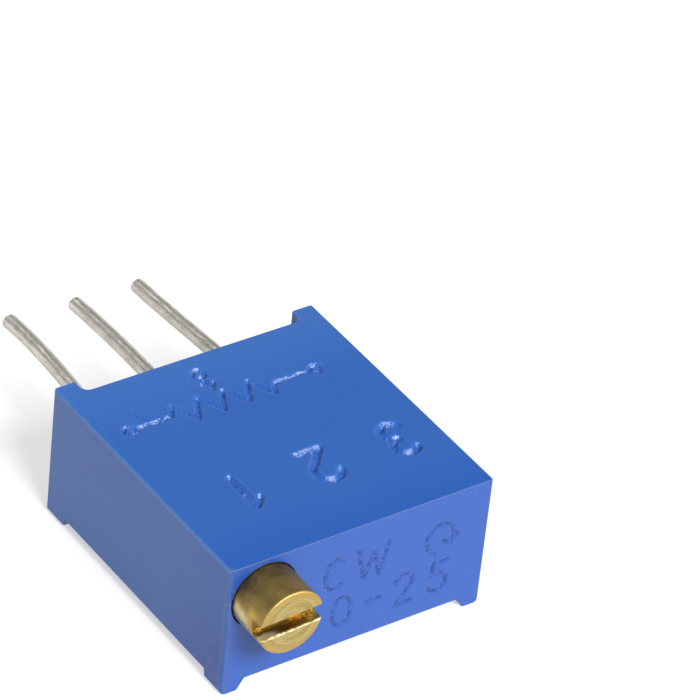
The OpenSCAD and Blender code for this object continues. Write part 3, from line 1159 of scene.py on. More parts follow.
@dataclass
class Housing:
    """The blue moulding: four walls and a roof, with feet, ribs, bore and pin slots.

    Attributes:
        box: The box of the CAD's housing.
        edge_round: The full round of the outer edges.
        slim_round: The round of the label face's and the feet's edges.
        fine_round: The round of the adjuster face's and the sides' edges.
        rib_depth: How far the standoff ribs stand out of the pin face.
        sealed_z: Z of the sealed side.
        channel_z: Z above which the pin face has its channels.
        channel_depth: Depth of the pin channels in the CAD and here.
        channel_reach: Half the width of a channel.
        slot_reach: Half the width of a pin slot, with room.
        pins_x: X of the three pins.
        snap: How near a point has to be to count as on a plane.
        sharp_angle: The angle in degrees below which an edge isn't rounded.
        arris_width: The width below which a face counts as part of a rounded edge.
    """

    box: Extent = field(default_factory=lambda: Extent.of("housing"))
    edge_round: float = 0.062
    slim_round: float = 0.026
    fine_round: float = 0.022
    rib_depth: float = 0.55
    sealed_z: float = 0.4
    channel_z: float = 2.84
    channel_depth: Flat = (0.3, 0.10)
    channel_reach: float = 0.45
    slot_reach: float = 0.75
    pins_x: Point = (-2.54, 0.0, 2.54)
    snap: float = 2e-3
    sharp_angle: float = 35.0
    arris_width: float = 0.08

    @property
    def pin_face(self) -> float:
        """Y of the face that the pins leave by, between the ribs."""
        return self.box.high.y - self.rib_depth

    def _beside_pin(self, x: float) -> float:
        """Returns how far an X is from the nearest pin."""
        return min(abs(x - pin) for pin in self.pins_x)

    def build(self) -> bpy.types.Object:
        """Models the moulding with rounded edges and its marks.

        Returns:
            The housing, in millimetres.
        """
        piece = Bench.from_cad("housing", "housing_shell")
        self._raise_channels(piece)
        self._plane_label(piece)
        rounded = self._round_edges(piece)
        self._press_marks(piece)
        Bench.smooth(piece)
        self._mark_wear(piece, rounded)
        return piece

    def _raise_channels(self, piece: bpy.types.Object) -> None:
        """Brings the floor of the three pin channels nearer to the pin face.

        Args:
            piece: The housing.
        """
        old, new = self.channel_depth
        for vertex in piece.data.vertices:
            on_floor = abs(vertex.co.y - self.pin_face + old) < self.snap
            if on_floor and self._beside_pin(vertex.co.x) < self.channel_reach:
                vertex.co.y = self.pin_face - new

    def _plane_label(self, piece: bpy.types.Object) -> None:
        """Closes the label face over the plain grooves, before finer ones are pressed in.

        Args:
            piece: The housing.
        """
        mesh = piece.data
        below = self.box.high.z - 0.2
        Bench.remove(piece, "FACE", [f.index for f in mesh.polygons
                                     if min(mesh.vertices[i].co.z for i in f.vertices) > below])
        open_edges = rim(piece.data.polygons)
        Bench.pick(piece, "EDGE", [e.index for e in piece.data.edges
                                   if tuple(sorted(e.vertices)) in open_edges])
        Bench.edit(piece, bpy.ops.mesh.edge_face_add)

    def _share(self, a: Vector, b: Vector) -> float:
        """Chooses the round of an edge.

        Args:
            a: One end of the edge.
            b: Its other end.

        Returns:
            The share of the full radius, or 0 where the edge stays sharp.
        """
        low, high = self.box.low, self.box.high
        middle = (a + b) / 2
        fine, slim = self.fine_round / self.edge_round, self.slim_round / self.edge_round

        def on(axis: int, value: float) -> bool:
            """Returns whether both ends lie on a plane across an axis."""
            return abs(a[axis] - value) < self.snap and abs(b[axis] - value) < self.snap

        if on(2, high.z):
            return slim + (1 - slim) * abs((b - a).normalized().y)
        if on(2, low.z) or on(1, high.y):
            return slim
        if on(1, low.y) or on(0, low.x) or on(0, high.x):
            return fine
        if on(2, self.sealed_z):
            return 0.0 if low.y + 0.05 <= middle.y <= self.pin_face - 0.05 else fine
        if on(1, self.pin_face):
            if middle.z > self.channel_z:
                return 1.0
            return fine if self._beside_pin(middle.x) > self.slot_reach else 0.0
        return 0.0

    def _round_edges(self, piece: bpy.types.Object) -> list[tuple[np.ndarray, np.ndarray, float]]:
        """Rounds the outer edges.

        Args:
            piece: The housing.

        Returns:
            The two ends and the radius of each rounded edge.
        """
        mesh = piece.data
        sides: dict[tuple[int, int], list[tuple[Vector, Vector]]] = {}
        for face in mesh.polygons:
            corners = list(face.vertices)
            for a, b in zip(corners, corners[1:] + corners[:1]):
                run = mesh.vertices[b].co - mesh.vertices[a].co
                sides.setdefault((min(a, b), max(a, b)), []).append(
                    (face.normal.copy(), face.normal.cross(run)))
        weights = mesh.attributes.new("bevel_weight_edge", "FLOAT", "EDGE")
        rounded = []
        for edge in mesh.edges:
            faces = sides.get(tuple(sorted(edge.vertices)), [])
            if len(faces) != 2 or faces[0][0].angle(faces[1][0]) < math.radians(self.sharp_angle):
                continue
            hollow = faces[1][1].dot(faces[0][0]) > 0
            a, b = (mesh.vertices[i].co for i in edge.vertices)
            share = 0.0 if hollow else self._share(a, b)
            if share:
                weights.data[edge.index].value = share
                rounded.append((np.array(a), np.array(b), share * self.edge_round))
        Bench.apply(piece, "BEVEL", limit_method="WEIGHT", width=self.edge_round, segments=3,
                    use_clamp_overlap=False)
        return rounded

    def _reliefs(self) -> list[tuple[int, float, list[Relief]]]:
        """Lays out the marks.

        Returns:
            The marked faces: an axis, its value and the patches on that face.
        """
        low, high = self.box.low, self.box.high
        back = (-1.0, 0.0, 0.0), (0.0, -1.0, 0.0)
        front = (1.0, 0.0, 0.0), (0.0, 0.0, 1.0)
        digits = [
            Relief((x + 0.78, low.y + 4.13, high.z), *back, (1.56, 2.16),
                   (Mark(sign, (0.33, 0.33), 1.5),), half_width=0.20, depth=0.165, rag=0.6)
            for sign, x in ((Sign.ONE, -2.3), (Sign.TWO, 0.5), (Sign.THREE, 3.3))]
        circuit = Relief((3.5, low.y + 9.13, high.z), *back, (7.8, 2.7),
                         (Mark(Sign.CIRCUIT, (0.3, 1.95), 1.0),),
                         half_width=0.13, depth=0.12, rag=1.0)
        upper = ((Sign.LETTER_C, 0.45, 1.80, 1.15), (Sign.LETTER_W, 1.65, 1.80, 1.15),
                 (Sign.CLOCKWISE, 4.15, 1.75, 1.2))
        lower = tuple((sign, x, 0.25, 1.12) for sign, x in (
            (Sign.ZERO, 0.85), (Sign.BAR, 2.05), (Sign.TWO, 3.15), (Sign.FIVE, 4.45)))
        rows = Relief((-1.75, low.y, 0.85), *front, (6.1, 3.15),
                      tuple(Mark(sign, (x, z), height) for sign, x, z, height in upper + lower),
                      half_width=0.095, depth=0.055, rag=1.0, stamped=True, cell=0.023)
        return [(2, high.z, [*digits, circuit]), (1, low.y, [rows])]

    def _press_marks(self, piece: bpy.types.Object) -> None:
        """Lets the marked patches into their flat faces.

        Args:
            piece: The housing.
        """
        for name in ("gloss", "stroke_shade"):
            piece.data.attributes.new(name, "FLOAT", "POINT")
        for axis, value, reliefs in self._reliefs():
            patches = [relief.made() for relief in reliefs]

            def flat(item: bpy.types.MeshEdge | bpy.types.MeshPolygon) -> bool:
                """Returns whether an edge or a face lies on the marked face."""
                return all(abs(piece.data.vertices[i].co[axis] - value) < 1e-3
                           for i in item.vertices)

            Bench.remove(piece, "FACE", [f.index for f in piece.data.polygons
                                         if abs(f.normal[axis]) > 0.9999 and flat(f)])
            Bench.join(piece, *patches)
            open_edges = rim(piece.data.polygons)
            Bench.pick(piece, "EDGE", [e.index for e in piece.data.edges
                                       if tuple(sorted(e.vertices)) in open_edges and flat(e)])
            Bench.edit(piece, lambda: bpy.ops.mesh.fill(use_beauty=True))
            outward = 1 if axis == 2 else -1
            wrong = [f.index for f in piece.data.polygons
                     if flat(f) and f.normal[axis] * outward < -0.9]
            if Bench.pick(piece, "FACE", wrong):
                Bench.edit(piece, bpy.ops.mesh.flip_normals)

    def _mark_wear(self, piece: bpy.types.Object,
                   rounded: Iterable[tuple[np.ndarray, np.ndarray, float]]) -> None:
        """Writes 1 on the points of the rounded edges and 0 elsewhere.

        Args:
            piece: The housing.
            rounded: The two ends and the radius of each rounded edge.
        """
        mesh, points = piece.data, Bench.points(piece)
        nearest = np.full(len(points), np.inf)
        for a, b, radius in rounded:
            nearest = np.minimum(nearest, gaps(points, a, b) / radius)
        worn = nearest < 0.8
        for face in mesh.polygons:
            corners = [mesh.vertices[i].co for i in face.vertices]
            around = sum((a - b).length for a, b in zip(corners, corners[1:] + corners[:1]))
            if 2 * face.area / around > self.arris_width:
                worn[list(face.vertices)] = False
        Bench.note(piece, "wear", worn.astype(float))

    def dress(self) -> bpy.types.Object:
        """Builds the moulding and hands it over with its finish.

        Returns:
            The finished housing.
        """
        low, high = self.box.low, self.box.high
        screw = Extent.of("adjustment_screw").middle
        plastic = MouldedPlastic((low.x, low.y, high.z), (screw.x, screw.z), self.pin_face)
        return Bench.deliver(self.build(), plastic.mixed(), "case", "housing_blue", "housing")


@dataclass
class LeadScrew:
    """The brass screw that is turned through the end of the housing.

    Attributes:
        box: The box of the CAD's screw.
        head: Radius of the head.
        head_end: Distance from the tip to the back of the head.
        seal_at: Distance from the tip to the middle of the seal's groove.
        clip_at: Distance from the tip to the middle of the clip's groove.
        thread_at: Distance from the tip to the thread.
        journal_length: Length of the journal at the far end.
        shank: Radius of the shank.
        seal_groove: Radius and half width of the seal's groove.
        clip_groove: Radius and half width of the clip's groove.
        thread: Outer radius of the thread.
        root: Its root radius.
        journal: Radius of the journal.
        edge: Round at the head's end.
        lip: Width of the slot's broken lip.
        slot_width: Width of the slot.
        slot_depth: Its depth.
        slot_angle: Its angle in degrees.
        pitch: Pitch of the thread.
        steps: Number of steps in a turn of the blank.
        thread_steps: Number of steps in a turn of the thread.
        lip_cuts: Number of cuts along each edge of the lip.
    """

    box: Extent = field(default_factory=lambda: Extent.of("adjustment_screw"))
    head: float = 1.12
    head_end: float = 1.765
    seal_at: float = 2.065
    clip_at: float = 2.885
    thread_at: float = 4.065
    journal_length: float = 0.45
    shank: float = 0.78
    seal_groove: Flat = (0.72, 0.23)
    clip_groove: Flat = (0.42, 0.19)
    thread: float = 0.75
    root: float = 0.66
    journal: float = 0.38
    edge: float = 0.07
    lip: float = 0.038
    slot_width: float = 0.56
    slot_depth: float = 0.52
    slot_angle: float = 177.0
    pitch: float = 0.19
    steps: int = 96
    thread_steps: int = 40
    lip_cuts: int = 60

    @property
    def axis(self) -> Flat:
        """X and Z of the screw's axis."""
        return self.box.middle.x, self.box.middle.z

    @property
    def tip(self) -> float:
        """Y of the head's end."""
        return self.box.low.y

    @property
    def thread_ends(self) -> Flat:
        """Y of the two ends of the thread."""
        return self.tip + self.thread_at, self.box.high.y - self.journal_length

    def _outline(self) -> list[Flat]:
        """Draws the outline of the turned blank.

        Returns:
            Its points as radius and Y, from the tip to the journal.
        """
        tip, end = self.tip, self.box.high.y
        back = tip + self.head_end
        start, stop = self.thread_ends
        turns = [math.radians(angle) for angle in (0, 30, 60, 90)]
        outline = [(0.0, tip)]
        outline += [(self.head - self.edge + self.edge * math.sin(a),
                     tip + self.edge - self.edge * math.cos(a)) for a in turns]
        outline += [(self.head, back - 0.03), (self.head - 0.03, back), (self.shank, back)]
        for place, (radius, half) in ((self.seal_at, self.seal_groove),
                                      (self.clip_at, self.clip_groove)):
            outline += [(self.shank, tip + place - half), (radius, tip + place - half),
                        (radius, tip + place + half), (self.shank, tip + place + half)]
        return [*outline, (self.shank, start - 0.1), (self.root, start), (self.root, stop),
                (self.journal, stop), (self.journal, end - 0.1), (self.journal - 0.1, end),
                (0.0, end)]

    def build(self) -> bpy.types.Object:
        """Models the screw with its slot and thread.

        Returns:
            The screw, in millimetres.
        """
        piece = Bench.lathe("screw_turned", self._outline(), self.axis, self.steps)
        self._cut_slot(piece)
        self._break_lip(piece)
        Bench.join(piece, self._wind_thread())
        Bench.smooth(piece)
        return piece

    def _break_lip(self, piece: bpy.types.Object) -> None:
        """Breaks the slot's lower lip and leaves it ragged, as a blade does.

        Args:
            piece: The screw.
        """
        x, z = self.axis
        turn = math.radians(self.slot_angle)

        def depth(index: int) -> float:
            """Returns how far a point is behind the head's end."""
            return piece.data.vertices[index].co.y - self.tip

        def drop(index: int) -> float:
            """Returns how far a point is past the slot's lower wall."""
            co = piece.data.vertices[index].co
            return (co.x - x) * math.sin(turn) - (z - co.z) * math.cos(turn) - self.slot_width / 2

        Bench.pick(piece, "EDGE", [e.index for e in piece.data.edges if all(
            abs(depth(i)) < 1e-3 and abs(drop(i)) < 2e-3 for i in e.vertices)])
        Bench.edit(piece, lambda: (
            bpy.ops.mesh.subdivide(number_cuts=self.lip_cuts),
            bpy.ops.mesh.bevel(offset=self.lip, segments=2, affect="EDGES")))
        for vertex in piece.data.vertices:
            deep, below = depth(vertex.index), drop(vertex.index)
            if max(abs(deep), abs(below)) < self.lip * 1.05:
                shift = noise.noise((vertex.co.x * 7.0, below * 9.0, 1.0)) * self.lip * 1.3
                if deep > 1e-4:
                    vertex.co.y += min(shift, 0.0) + 0.3 * self.lip
                if below > 1e-4:
                    vertex.co.z -= max(shift, -0.6 * self.lip)

    def _wind_thread(self) -> bpy.types.Object:
        """Winds the right-hand ridge of the thread.

        Returns:
            The ridge.
        """
        start, end = self.thread_ends
        half = self.pitch * 0.44
        ridge = Bench.add("thread_ridge", bpy.ops.mesh.primitive_circle_add, vertices=3,
                          radius=1.0)
        section = ((self.root - 0.03, -half), (self.thread, 0.0), (self.root - 0.03, half))
        for vertex, (radius, y) in zip(ridge.data.vertices, section):
            vertex.co = (radius, y, 0.0)
        Bench.apply(ridge, "SCREW", axis="Y", angle=2 * math.pi, screw_offset=self.pitch,
                    iterations=int((end - start) / self.pitch) - 1, steps=self.thread_steps,
                    render_steps=self.thread_steps)
        Bench.edit_all(ridge, lambda: (bpy.ops.mesh.fill_holes(sides=3),
                                       bpy.ops.mesh.normals_make_consistent(inside=False)))
        ridge.location = (self.axis[0], start + self.pitch, self.axis[1])
        Bench.freeze(ridge)
        return ridge

    def _cut_slot(self, piece: bpy.types.Object) -> None:
        """Mills the slot across the head.

        Args:
            piece: The screw.
        """
        x, z = self.axis
        cutter = Bench.add("slot_cutter", bpy.ops.mesh.primitive_cube_add, size=1.0,
                           location=(x, self.tip + self.slot_depth / 2 - 0.5, z),
                           rotation=(0, math.radians(self.slot_angle), 0))
        cutter.scale = (4 * self.head, self.slot_depth + 1.0, self.slot_width)
        Bench.apply(piece, "BOOLEAN", object=cutter, operation="DIFFERENCE", solver="EXACT")
        bpy.data.objects.remove(cutter)

    def dress(self) -> bpy.types.Object:
        """Builds the screw and hands it over with its finish."""
        brass = TurnedBrass(self.axis, self.tip, self.head, self.slot_angle, self.slot_width)
        return Bench.deliver(self.build(), brass.mixed(), "screw", "brass", "adjustment_screw")


@dataclass
class TerminalPins:
    """Three tinned wires, each bent a little by handling.

    Attributes:
        diameter: Diameter of the wire.
        sides: Number of points round a wire.
        rings: Number of rings of points along it.
        tip_round: Round of the cut end.
        cut_length: How far bare copper shows on the cut end.
        pad_length: Length of the flattened inner end.
        pad_run: Length of the change from flat to round.
        free_from: Where the free part starts, from the inner end.
        bends: Each wire's shift sideways in its middle and at its tip.
        splay: Each wire's shift where it leaves the body.
        splay_run: The share of the free part in which that shift builds up.
        sway: How strongly the middle follows its bend.
        trim: How much each wire is shorter.
        droop: How far each tip hangs down.
    """

    diameter: float = 0.51
    sides: int = 28
    rings: int = 22
    tip_round: float = 0.05
    cut_length: float = 0.03
    pad_length: float = 1.0
    pad_run: float = 0.35
    free_from: float = 1.42
    bends: tuple[Flat, ...] = ((0.18, 0.16), (0.03, -0.13), (-0.16, -0.33))
    splay: Point = (-0.09, 0.02, 0.10)
    splay_run: float = 0.25
    sway: float = 1.6
    trim: Point = (0.0, 0.16, 0.12)
    droop: Point = (0.0, 0.0, 0.10)

    def build(self, index: int) -> bpy.types.Object:
        """Models one pin, round outside and flattened on its pad.

        Args:
            index: 0, 1 or 2 from left to right.

        Returns:
            The pin, in millimetres.
        """
        box = Extent.of(f"terminal_pin_{index + 1}")
        x, z = box.middle.x, box.high.z - self.diameter / 2
        start, end = box.low.y, box.high.y - self.trim[index]
        piece = Bench.add(f"wire_pin_{index + 1}", bpy.ops.mesh.primitive_cylinder_add,
                          vertices=self.sides, radius=self.diameter / 2, depth=end - start,
                          location=(x, (start + end) / 2, z), rotation=(math.pi / 2, 0, 0))
        Bench.freeze(piece)
        for y in np.linspace(start, end, self.rings)[1:-1]:
            Bench.edit_all(piece, lambda: bpy.ops.mesh.bisect(plane_co=(0, y, 0),
                                                              plane_no=(0, 1, 0)))
        Bench.pick(piece, "EDGE", [e.index for e in piece.data.edges if all(
            abs(piece.data.vertices[i].co.y - end) < 1e-4 for i in e.vertices)])
        Bench.edit(piece, lambda: bpy.ops.mesh.bevel(offset=self.tip_round, segments=2,
                                                     affect="EDGES"))
        bare_from = end - self.cut_length
        Bench.note(piece, "cut", [float(v.co.y > bare_from) for v in piece.data.vertices])
        self._flatten(piece, box, x, z - self.diameter / 2)
        self._bend(piece, index, box)
        Bench.smooth(piece)
        return piece

    def _flatten(self, piece: bpy.types.Object, box: Extent, x: float, base: float) -> None:
        """Presses the inner end of the wire flat on its pad.

        Args:
            piece: The wire.
            box: The box of the CAD's pin.
            x: X of the wire's axis.
            base: Z of the pad.
        """
        wide = (box.high.x - box.low.x) / self.diameter
        thin = math.pi / 4 / wide * 0.98
        for vertex in piece.data.vertices:
            along = (vertex.co.y - box.low.y - self.pad_length) / self.pad_run
            share = 1 - min(max(along, 0), 1)
            vertex.co.x = x + (vertex.co.x - x) * (1 + share * (wide - 1))
            vertex.co.z = base + (vertex.co.z - base) * (1 + share * (thin - 1))

    def _bend(self, piece: bpy.types.Object, index: int, box: Extent) -> None:
        """Bends the free part of the wire sideways in one smooth sweep.

        Args:
            piece: The wire.
            index: Its number, from 0.
            box: The box of the CAD's pin.
        """
        middle, tip = self.bends[index]
        root = box.low.y + self.free_from
        for vertex in piece.data.vertices:
            t = max((vertex.co.y - root) / (box.high.y - root), 0.0)
            eased = t * t * (3 - 2 * t)
            bow = 4 * t * (1 - t) * t
            fanned = min(t / self.splay_run, 1.0)
            vertex.co.x += tip * eased + (middle - tip / 2) * bow * self.sway
            vertex.co.x += self.splay[index] * fanned * fanned * (3 - 2 * fanned)
            vertex.co.z -= self.droop[index] * t * t

    def dress(self) -> list[bpy.types.Object]:
        """Builds the pins and hands them over with their finish.

        Returns:
            The three finished pins.
        """
        wire = TinnedWire(Extent.of("terminal_pin_2").high.z - self.diameter / 2).mixed()
        return [Bench.deliver(self.build(i), wire, "case", "tinned_wire",
                              f"terminal_pin_{i + 1}") for i in range(3)]


@dataclass
class ResinSeal:
    """The resin cast over the sealed side, sunk a little and drawn up at the walls.

    Attributes:
        box: The box of the CAD's resin.
        housing: The box of the CAD's housing.
        sink: How far its middle lies below the rim.
        creep: How far from a wall it is drawn up.
        cell: Distance between the points of its surface.
        fine_cell: The same round the pit.
        fine_reach: How far from the pit's middle the fine points go.
        swell: How far it is swollen, so that it meets the walls.
        pit: X of a torn pit, its distance from the adjuster face, and its radius.
        collar: Foot radius, top radius and height of the resin drawn up round each pin.
        wire_radius: Radius of a pin.
    """

    box: Extent = field(default_factory=lambda: Extent.of("epoxy_seal"))
    housing: Extent = field(default_factory=lambda: Extent.of("housing"))
    sink: float = 0.05
    creep: float = 0.20
    cell: float = 0.18
    fine_cell: float = 0.06
    fine_reach: float = 0.48
    swell: float = 0.006
    pit: Point = (-1.66, 0.98, 0.34)
    collar: Point = (0.50, 0.262, 0.075)
    wire_radius: float = 0.255

    @property
    def pit_at(self) -> Flat:
        """X and Y of the pit."""
        return self.pit[0], self.housing.low.y + self.pit[1]

    def build(self) -> bpy.types.Object:
        """Models the resin with its levelled surface and the torn pit.

        Returns:
            The resin, in millimetres.
        """
        piece = Bench.from_cad("epoxy_seal", "resin_seal")
        self._cut_grid(piece)
        self._level(piece)
        Bench.edit_all(piece, lambda: bpy.ops.transform.shrink_fatten(value=self.swell))
        Bench.join(piece, *(self._collar(index) for index in (1, 2, 3)))
        Bench.smooth(piece, 50.0)
        return piece

    def _collar(self, index: int) -> bpy.types.Object:
        """Models the resin drawn up round one pin.

        Args:
            index: The pin's number, from 1 to 3.

        Returns:
            The collar.
        """
        wire = Extent.of(f"terminal_pin_{index}")
        x, z = wire.middle.x, wire.high.z - self.wire_radius
        foot, top, height = self.collar
        face = self.box.high.y
        rise = [(foot + (top - foot) * t, face + height * t * t) for t in np.linspace(0, 1, 7)]
        collar = Bench.lathe(f"collar_{index}",
                             [(0.0, face - 0.05), (foot, face - 0.05), *rise,
                              (top - 0.03, face + height), (0.0, face + height - 0.05)],
                             (x, z), 48)
        for vertex in collar.data.vertices:
            out = Vector((vertex.co.x - x, 0.0, vertex.co.z - z))
            if out.length > top + 0.02:
                rag = noise.noise((out.x * 4.0 + index, out.z * 4.0, 1.0))
                vertex.co += out.normalized() * rag * 0.35 * (out.length - top)
        return collar

    def _cut_grid(self, piece: bpy.types.Object) -> None:
        """Cuts the block into a grid, which is finer round the pit.

        Args:
            piece: The resin.
        """
        low, high, reach = self.box.low, self.box.high, self.fine_reach
        cuts = []
        for axis, centre in enumerate(self.pit_at):
            fine = np.arange(centre - reach, centre + reach + 0.01, self.fine_cell)
            coarse = np.arange(low[axis] + self.cell / 2, high[axis], self.cell)
            places = [*fine, *(v for v in coarse if abs(v - centre) > reach + 0.02)]
            cuts += [(axis, value) for value in places]
        cuts += [(2, value) for value in np.arange(low.z + 0.3, high.z, 0.4)]

        def slice_up() -> None:
            """Cuts the whole block along each plane in turn."""
            for axis, value in cuts:
                place, normal = [0.0] * 3, [0.0] * 3
                place[axis], normal[axis] = float(value), 1.0
                bpy.ops.mesh.select_all(action="SELECT")
                bpy.ops.mesh.bisect(plane_co=place, plane_no=normal)

        Bench.edit(piece, slice_up)

    def _level(self, piece: bpy.types.Object) -> None:
        """Sinks the surface between the walls, with slow waves and a torn pit.

        Args:
            piece: The resin.
        """
        mesh, co = piece.data, Bench.points(piece)
        flat = np.abs(co[:, 2] - self.box.low.z) < 2e-3
        surface = np.flatnonzero(flat)
        wall = np.full(len(surface), np.inf)
        for a, b in rim(f for f in mesh.polygons if all(flat[i] for i in f.vertices)):
            wall = np.minimum(wall, gaps(co[surface, :2], co[a, :2], co[b, :2]))
        torn = np.zeros(len(co))
        for index, inward in zip(surface, 1 - np.exp(-wall / self.creep)):
            x, y = co[index, :2]
            wave = noise.noise((x * 0.5, y * 0.5, 2.0))
            rag = noise.noise((x * 5.0, y * 5.0, 4.0))
            gap = math.dist((x, y), self.pit_at) / self.pit[2] * (1 + 0.7 * rag)
            lips = math.exp(-((gap - 1.2) / 0.45) ** 2)
            co[index, 2] += inward * (self.sink + 0.03 * wave)
            co[index, 2] += 0.30 * math.exp(-gap ** 2) - (0.04 + 0.12 * rag) * lips
            torn[index] = min(lips * (0.8 + 1.5 * rag), 1.0)
        mesh.vertices.foreach_set("co", co.ravel())
        Bench.note(piece, "torn", torn)
        mesh.update()

    def dress(self) -> bpy.types.Object:
        """Builds the resin and hands it over with its finish."""
        return Bench.deliver(self.build(), CastingResin().mixed(), "case", "casting_resin",
                             "epoxy_seal")


@dataclass
class CadParts:
    """CAD nodes whose shape is right already and that only take a finish."""

    finishes: tuple[tuple[Finish, tuple[str, ...]], ...] = (
        (CastingResin(), ("clip_seal",)),
        (SealRubber(), ("o_ring",)),
        (SheetMetal("clip_steel", (0.56, 0.56, 0.55), (0.42, 0.40, 0.38), (1.0, 8.0, 1.0)),
         ("retaining_clip",)),
        (CarriagePlastic(), ("carriage",)),
        (SheetMetal("spring_alloy", (0.78, 0.66, 0.42), (0.62, 0.48, 0.28), (8.0, 1.0, 1.0),
                    0.22), ("wiper_spring",)),
        (Alumina(), ("ceramic_substrate",)),
        (FiredInk("cermet_ink", (0.018, 0.017, 0.016), (0.050, 0.046, 0.042)),
         ("resistive_track",)),
        (FiredInk("silver_ink", (0.62, 0.60, 0.56), (0.45, 0.43, 0.40), 0.8, 0.3),
         ("collector_track", "end_termination_1", "end_termination_3")),
        (Solder(), ("solder_joint_1", "solder_joint_2", "solder_joint_3")),
    )

    def dress(self) -> int:
        """Gives each node its finish.

        Returns:
            How many nodes were dressed.
        """
        for finish, nodes in self.finishes:
            material = finish.mixed()
            for node in nodes:
                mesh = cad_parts[node].data
                mesh.materials.clear()
                mesh.materials.append(material)
        return sum(len(nodes) for _, nodes in self.finishes)


# ---------------------------------------------------------------- studio

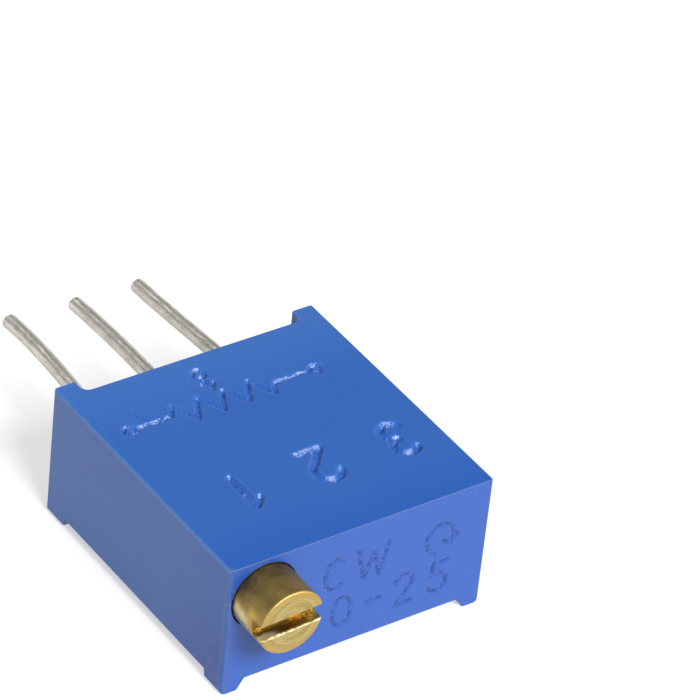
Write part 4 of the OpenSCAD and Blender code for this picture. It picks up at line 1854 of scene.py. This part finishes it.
@dataclass
class Studio:
    """Camera, paper, lamps and the dark flag that the brass mirrors.

    Attributes:
        aim: What the camera looks at, in millimetres.
        distance: How far the camera is from it, in millimetres.
        azimuth: Angle of the camera round the part, in degrees.
        elevation: Its angle above the paper.
        roll: Its turn about its own axis.
        lens: Its focal length.
        paper_size: Side of the paper in metres, as for all lengths that follow.
        key_from: Direction of the main lamp.
        key_distance: Distance of the lamps.
        key_size: Width and height of the main lamp.
        key_power: Its power in watts.
        spark_from: Direction of the small lamp that only glints.
        spark_size: Its width and height.
        spark_power: Its power in watts.
        sky: Brightness of the even light, where white is 1.
        flag_radius: Radius of the dark card.
        flag_height: Its height above the paper.
        flag_level: Its brightness.
        strip_at: Middle of the pale strip.
        strip_size: Its width and depth.
        strip_level: Its brightness.
    """

    aim: Point = (4.130, -0.448, 5.272)
    distance: float = 154.96
    azimuth: float = -37.8594
    elevation: float = 36.4735
    roll: float = 6.3719
    lens: float = 255.90
    paper_size: float = 6.0
    key_from: Point = (-0.06, -0.735, 0.682)
    key_distance: float = 0.6
    key_size: Flat = (0.24, 0.18)
    key_power: float = 3.75
    spark_from: Point = (0.45, -0.65, 0.61)
    spark_size: Flat = (0.12, 0.12)
    spark_power: float = 2.2
    sky: float = 0.35
    flag_radius: float = 2.4
    flag_height: float = 0.9
    flag_level: float = 0.11
    strip_at: Point = (-0.13, 0.78, 0.88)
    strip_size: Flat = (0.50, 0.34)
    strip_level: float = 2.4

    def place_camera(self) -> bpy.types.Object:
        """Aims and rolls the camera.

        Returns:
            The camera.
        """
        a, e, r = (math.radians(v) for v in (self.azimuth, self.elevation, self.roll))
        back = Vector((math.sin(a) * math.cos(e), -math.cos(a) * math.cos(e), math.sin(e)))
        level = Vector((math.cos(a), math.sin(a), 0))
        rise = back.cross(level)
        right = level * math.cos(r) + rise * math.sin(r)
        up = rise * math.cos(r) - level * math.sin(r)
        data = bpy.data.cameras.new("view_camera")
        data.lens = self.lens
        data.clip_start, data.clip_end = 0.01, 10.0
        camera = bpy.data.objects.new("view_camera", data)
        bpy.context.scene.collection.objects.link(camera)
        turn = Matrix((right, up, back)).transposed().to_4x4()
        place = (Vector(self.aim) + back * self.distance) * MM
        camera.matrix_world = Matrix.Translation(place) @ turn
        bpy.context.scene.camera = camera
        return camera

    def lay_paper(self) -> bpy.types.Object:
        """Lays the sheet of paper under the part.

        Returns:
            The paper, marked as part of the stage.
        """
        paper = Bench.add("studio_paper", bpy.ops.mesh.primitive_plane_add,
                          size=self.paper_size, location=(0, 0, 0))
        paper.data.materials.append(StudioPaper().mixed())
        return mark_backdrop(paper) or paper

    def hang_flag(self) -> bpy.types.Object:
        """Hangs the dark card overhead, which only mirrors see.

        Returns:
            The card.
        """
        flag = Bench.add("dark_flag", bpy.ops.mesh.primitive_circle_add, vertices=48,
                         radius=self.flag_radius, fill_type="NGON",
                         location=(0, 0, self.flag_height))
        return self._mirrored_only(flag, self.flag_level)

    def hang_strip(self) -> bpy.types.Object:
        """Hangs the pale strip behind and above, which draws a line along the wires.

        Returns:
            The strip.
        """
        strip = Bench.add("pale_strip", bpy.ops.mesh.primitive_plane_add, size=1.0,
                          location=self.strip_at)
        strip.scale = (*self.strip_size, 1.0)
        Bench.freeze(strip)
        return self._mirrored_only(strip, self.strip_level)

    @staticmethod
    def _mirrored_only(card: bpy.types.Object, level: float) -> bpy.types.Object:
        """Gives a card a glow that only mirrors see.

        Args:
            card: The card.
            level: How bright it is, where white is 1.

        Returns:
            The card.
        """
        shader = Shader(f"{card.name}_glow")
        glow = shader.node("Emission", {}, {"Color": (level,) * 3, "Strength": 1.0})
        shader.node("OutputMaterial", {}, {"Surface": glow.outputs[0]})
        shader.material.cycles.emission_sampling = "NONE"
        card.data.materials.append(shader.material)
        for ray in ("camera", "diffuse", "transmission", "volume_scatter", "shadow"):
            setattr(card, f"visible_{ray}", False)
        return card

    def hang_lamp(self, name: str, towards: Point, size: Flat, power: float) -> bpy.types.Object:
        """Hangs a soft square lamp.

        Args:
            name: The lamp's name.
            towards: The direction in which it hangs.
            size: Its width and height in metres.
            power: Its power in watts.

        Returns:
            The lamp.
        """
        data = bpy.data.lights.new(name, "AREA")
        data.shape = "RECTANGLE"
        data.size, data.size_y = size
        data.energy = power
        lamp = bpy.data.objects.new(name, data)
        bpy.context.scene.collection.objects.link(lamp)
        direction = Vector(towards).normalized()
        lamp.location = direction * self.key_distance
        lamp.rotation_euler = direction.to_track_quat("Z", "Y").to_euler()
        return lamp

    def paint_world(self) -> None:
        """Gives the world a soft even light and a white background."""
        world = bpy.data.worlds.new("studio_world")
        bpy.context.scene.world = world
        shader = Shader("studio_world", world)
        seen = shader.rays("Camera", "Glossy", "Transmission")
        light = shader.node("Background", {}, {"Color": (1.0, 1.0, 1.0),
                                               "Strength": seen * (1 - self.sky) + self.sky})
        shader.node("OutputWorld", {}, {"Surface": light.outputs[0]})

    def set_up(self) -> None:
        """Puts everything of the studio in its place."""
        bpy.context.scene.view_settings.view_transform = "Standard"
        self.place_camera()
        self.lay_paper()
        self.hang_flag()
        self.hang_strip()
        self.hang_lamp("key_lamp", self.key_from, self.key_size, self.key_power)
        spark = self.hang_lamp("spark_lamp", self.spark_from, self.spark_size, self.spark_power)
        spark.visible_diffuse = False
        self.paint_world()


def main() -> None:
    """Builds the part in order and reports each piece."""
    logging.basicConfig(level=logging.INFO, format="%(message)s", stream=sys.stdout)
    for sub_assembly in (Housing(), ResinSeal(), LeadScrew(), TerminalPins()):
        made = sub_assembly.dress()
        for piece in made if isinstance(made, list) else [made]:
            log.info("%s: %d faces", piece.name, len(piece.data.polygons))
    log.info("%d CAD parts dressed", CadParts().dress())
    Studio().set_up()


if __name__ == "__main__":
    main()
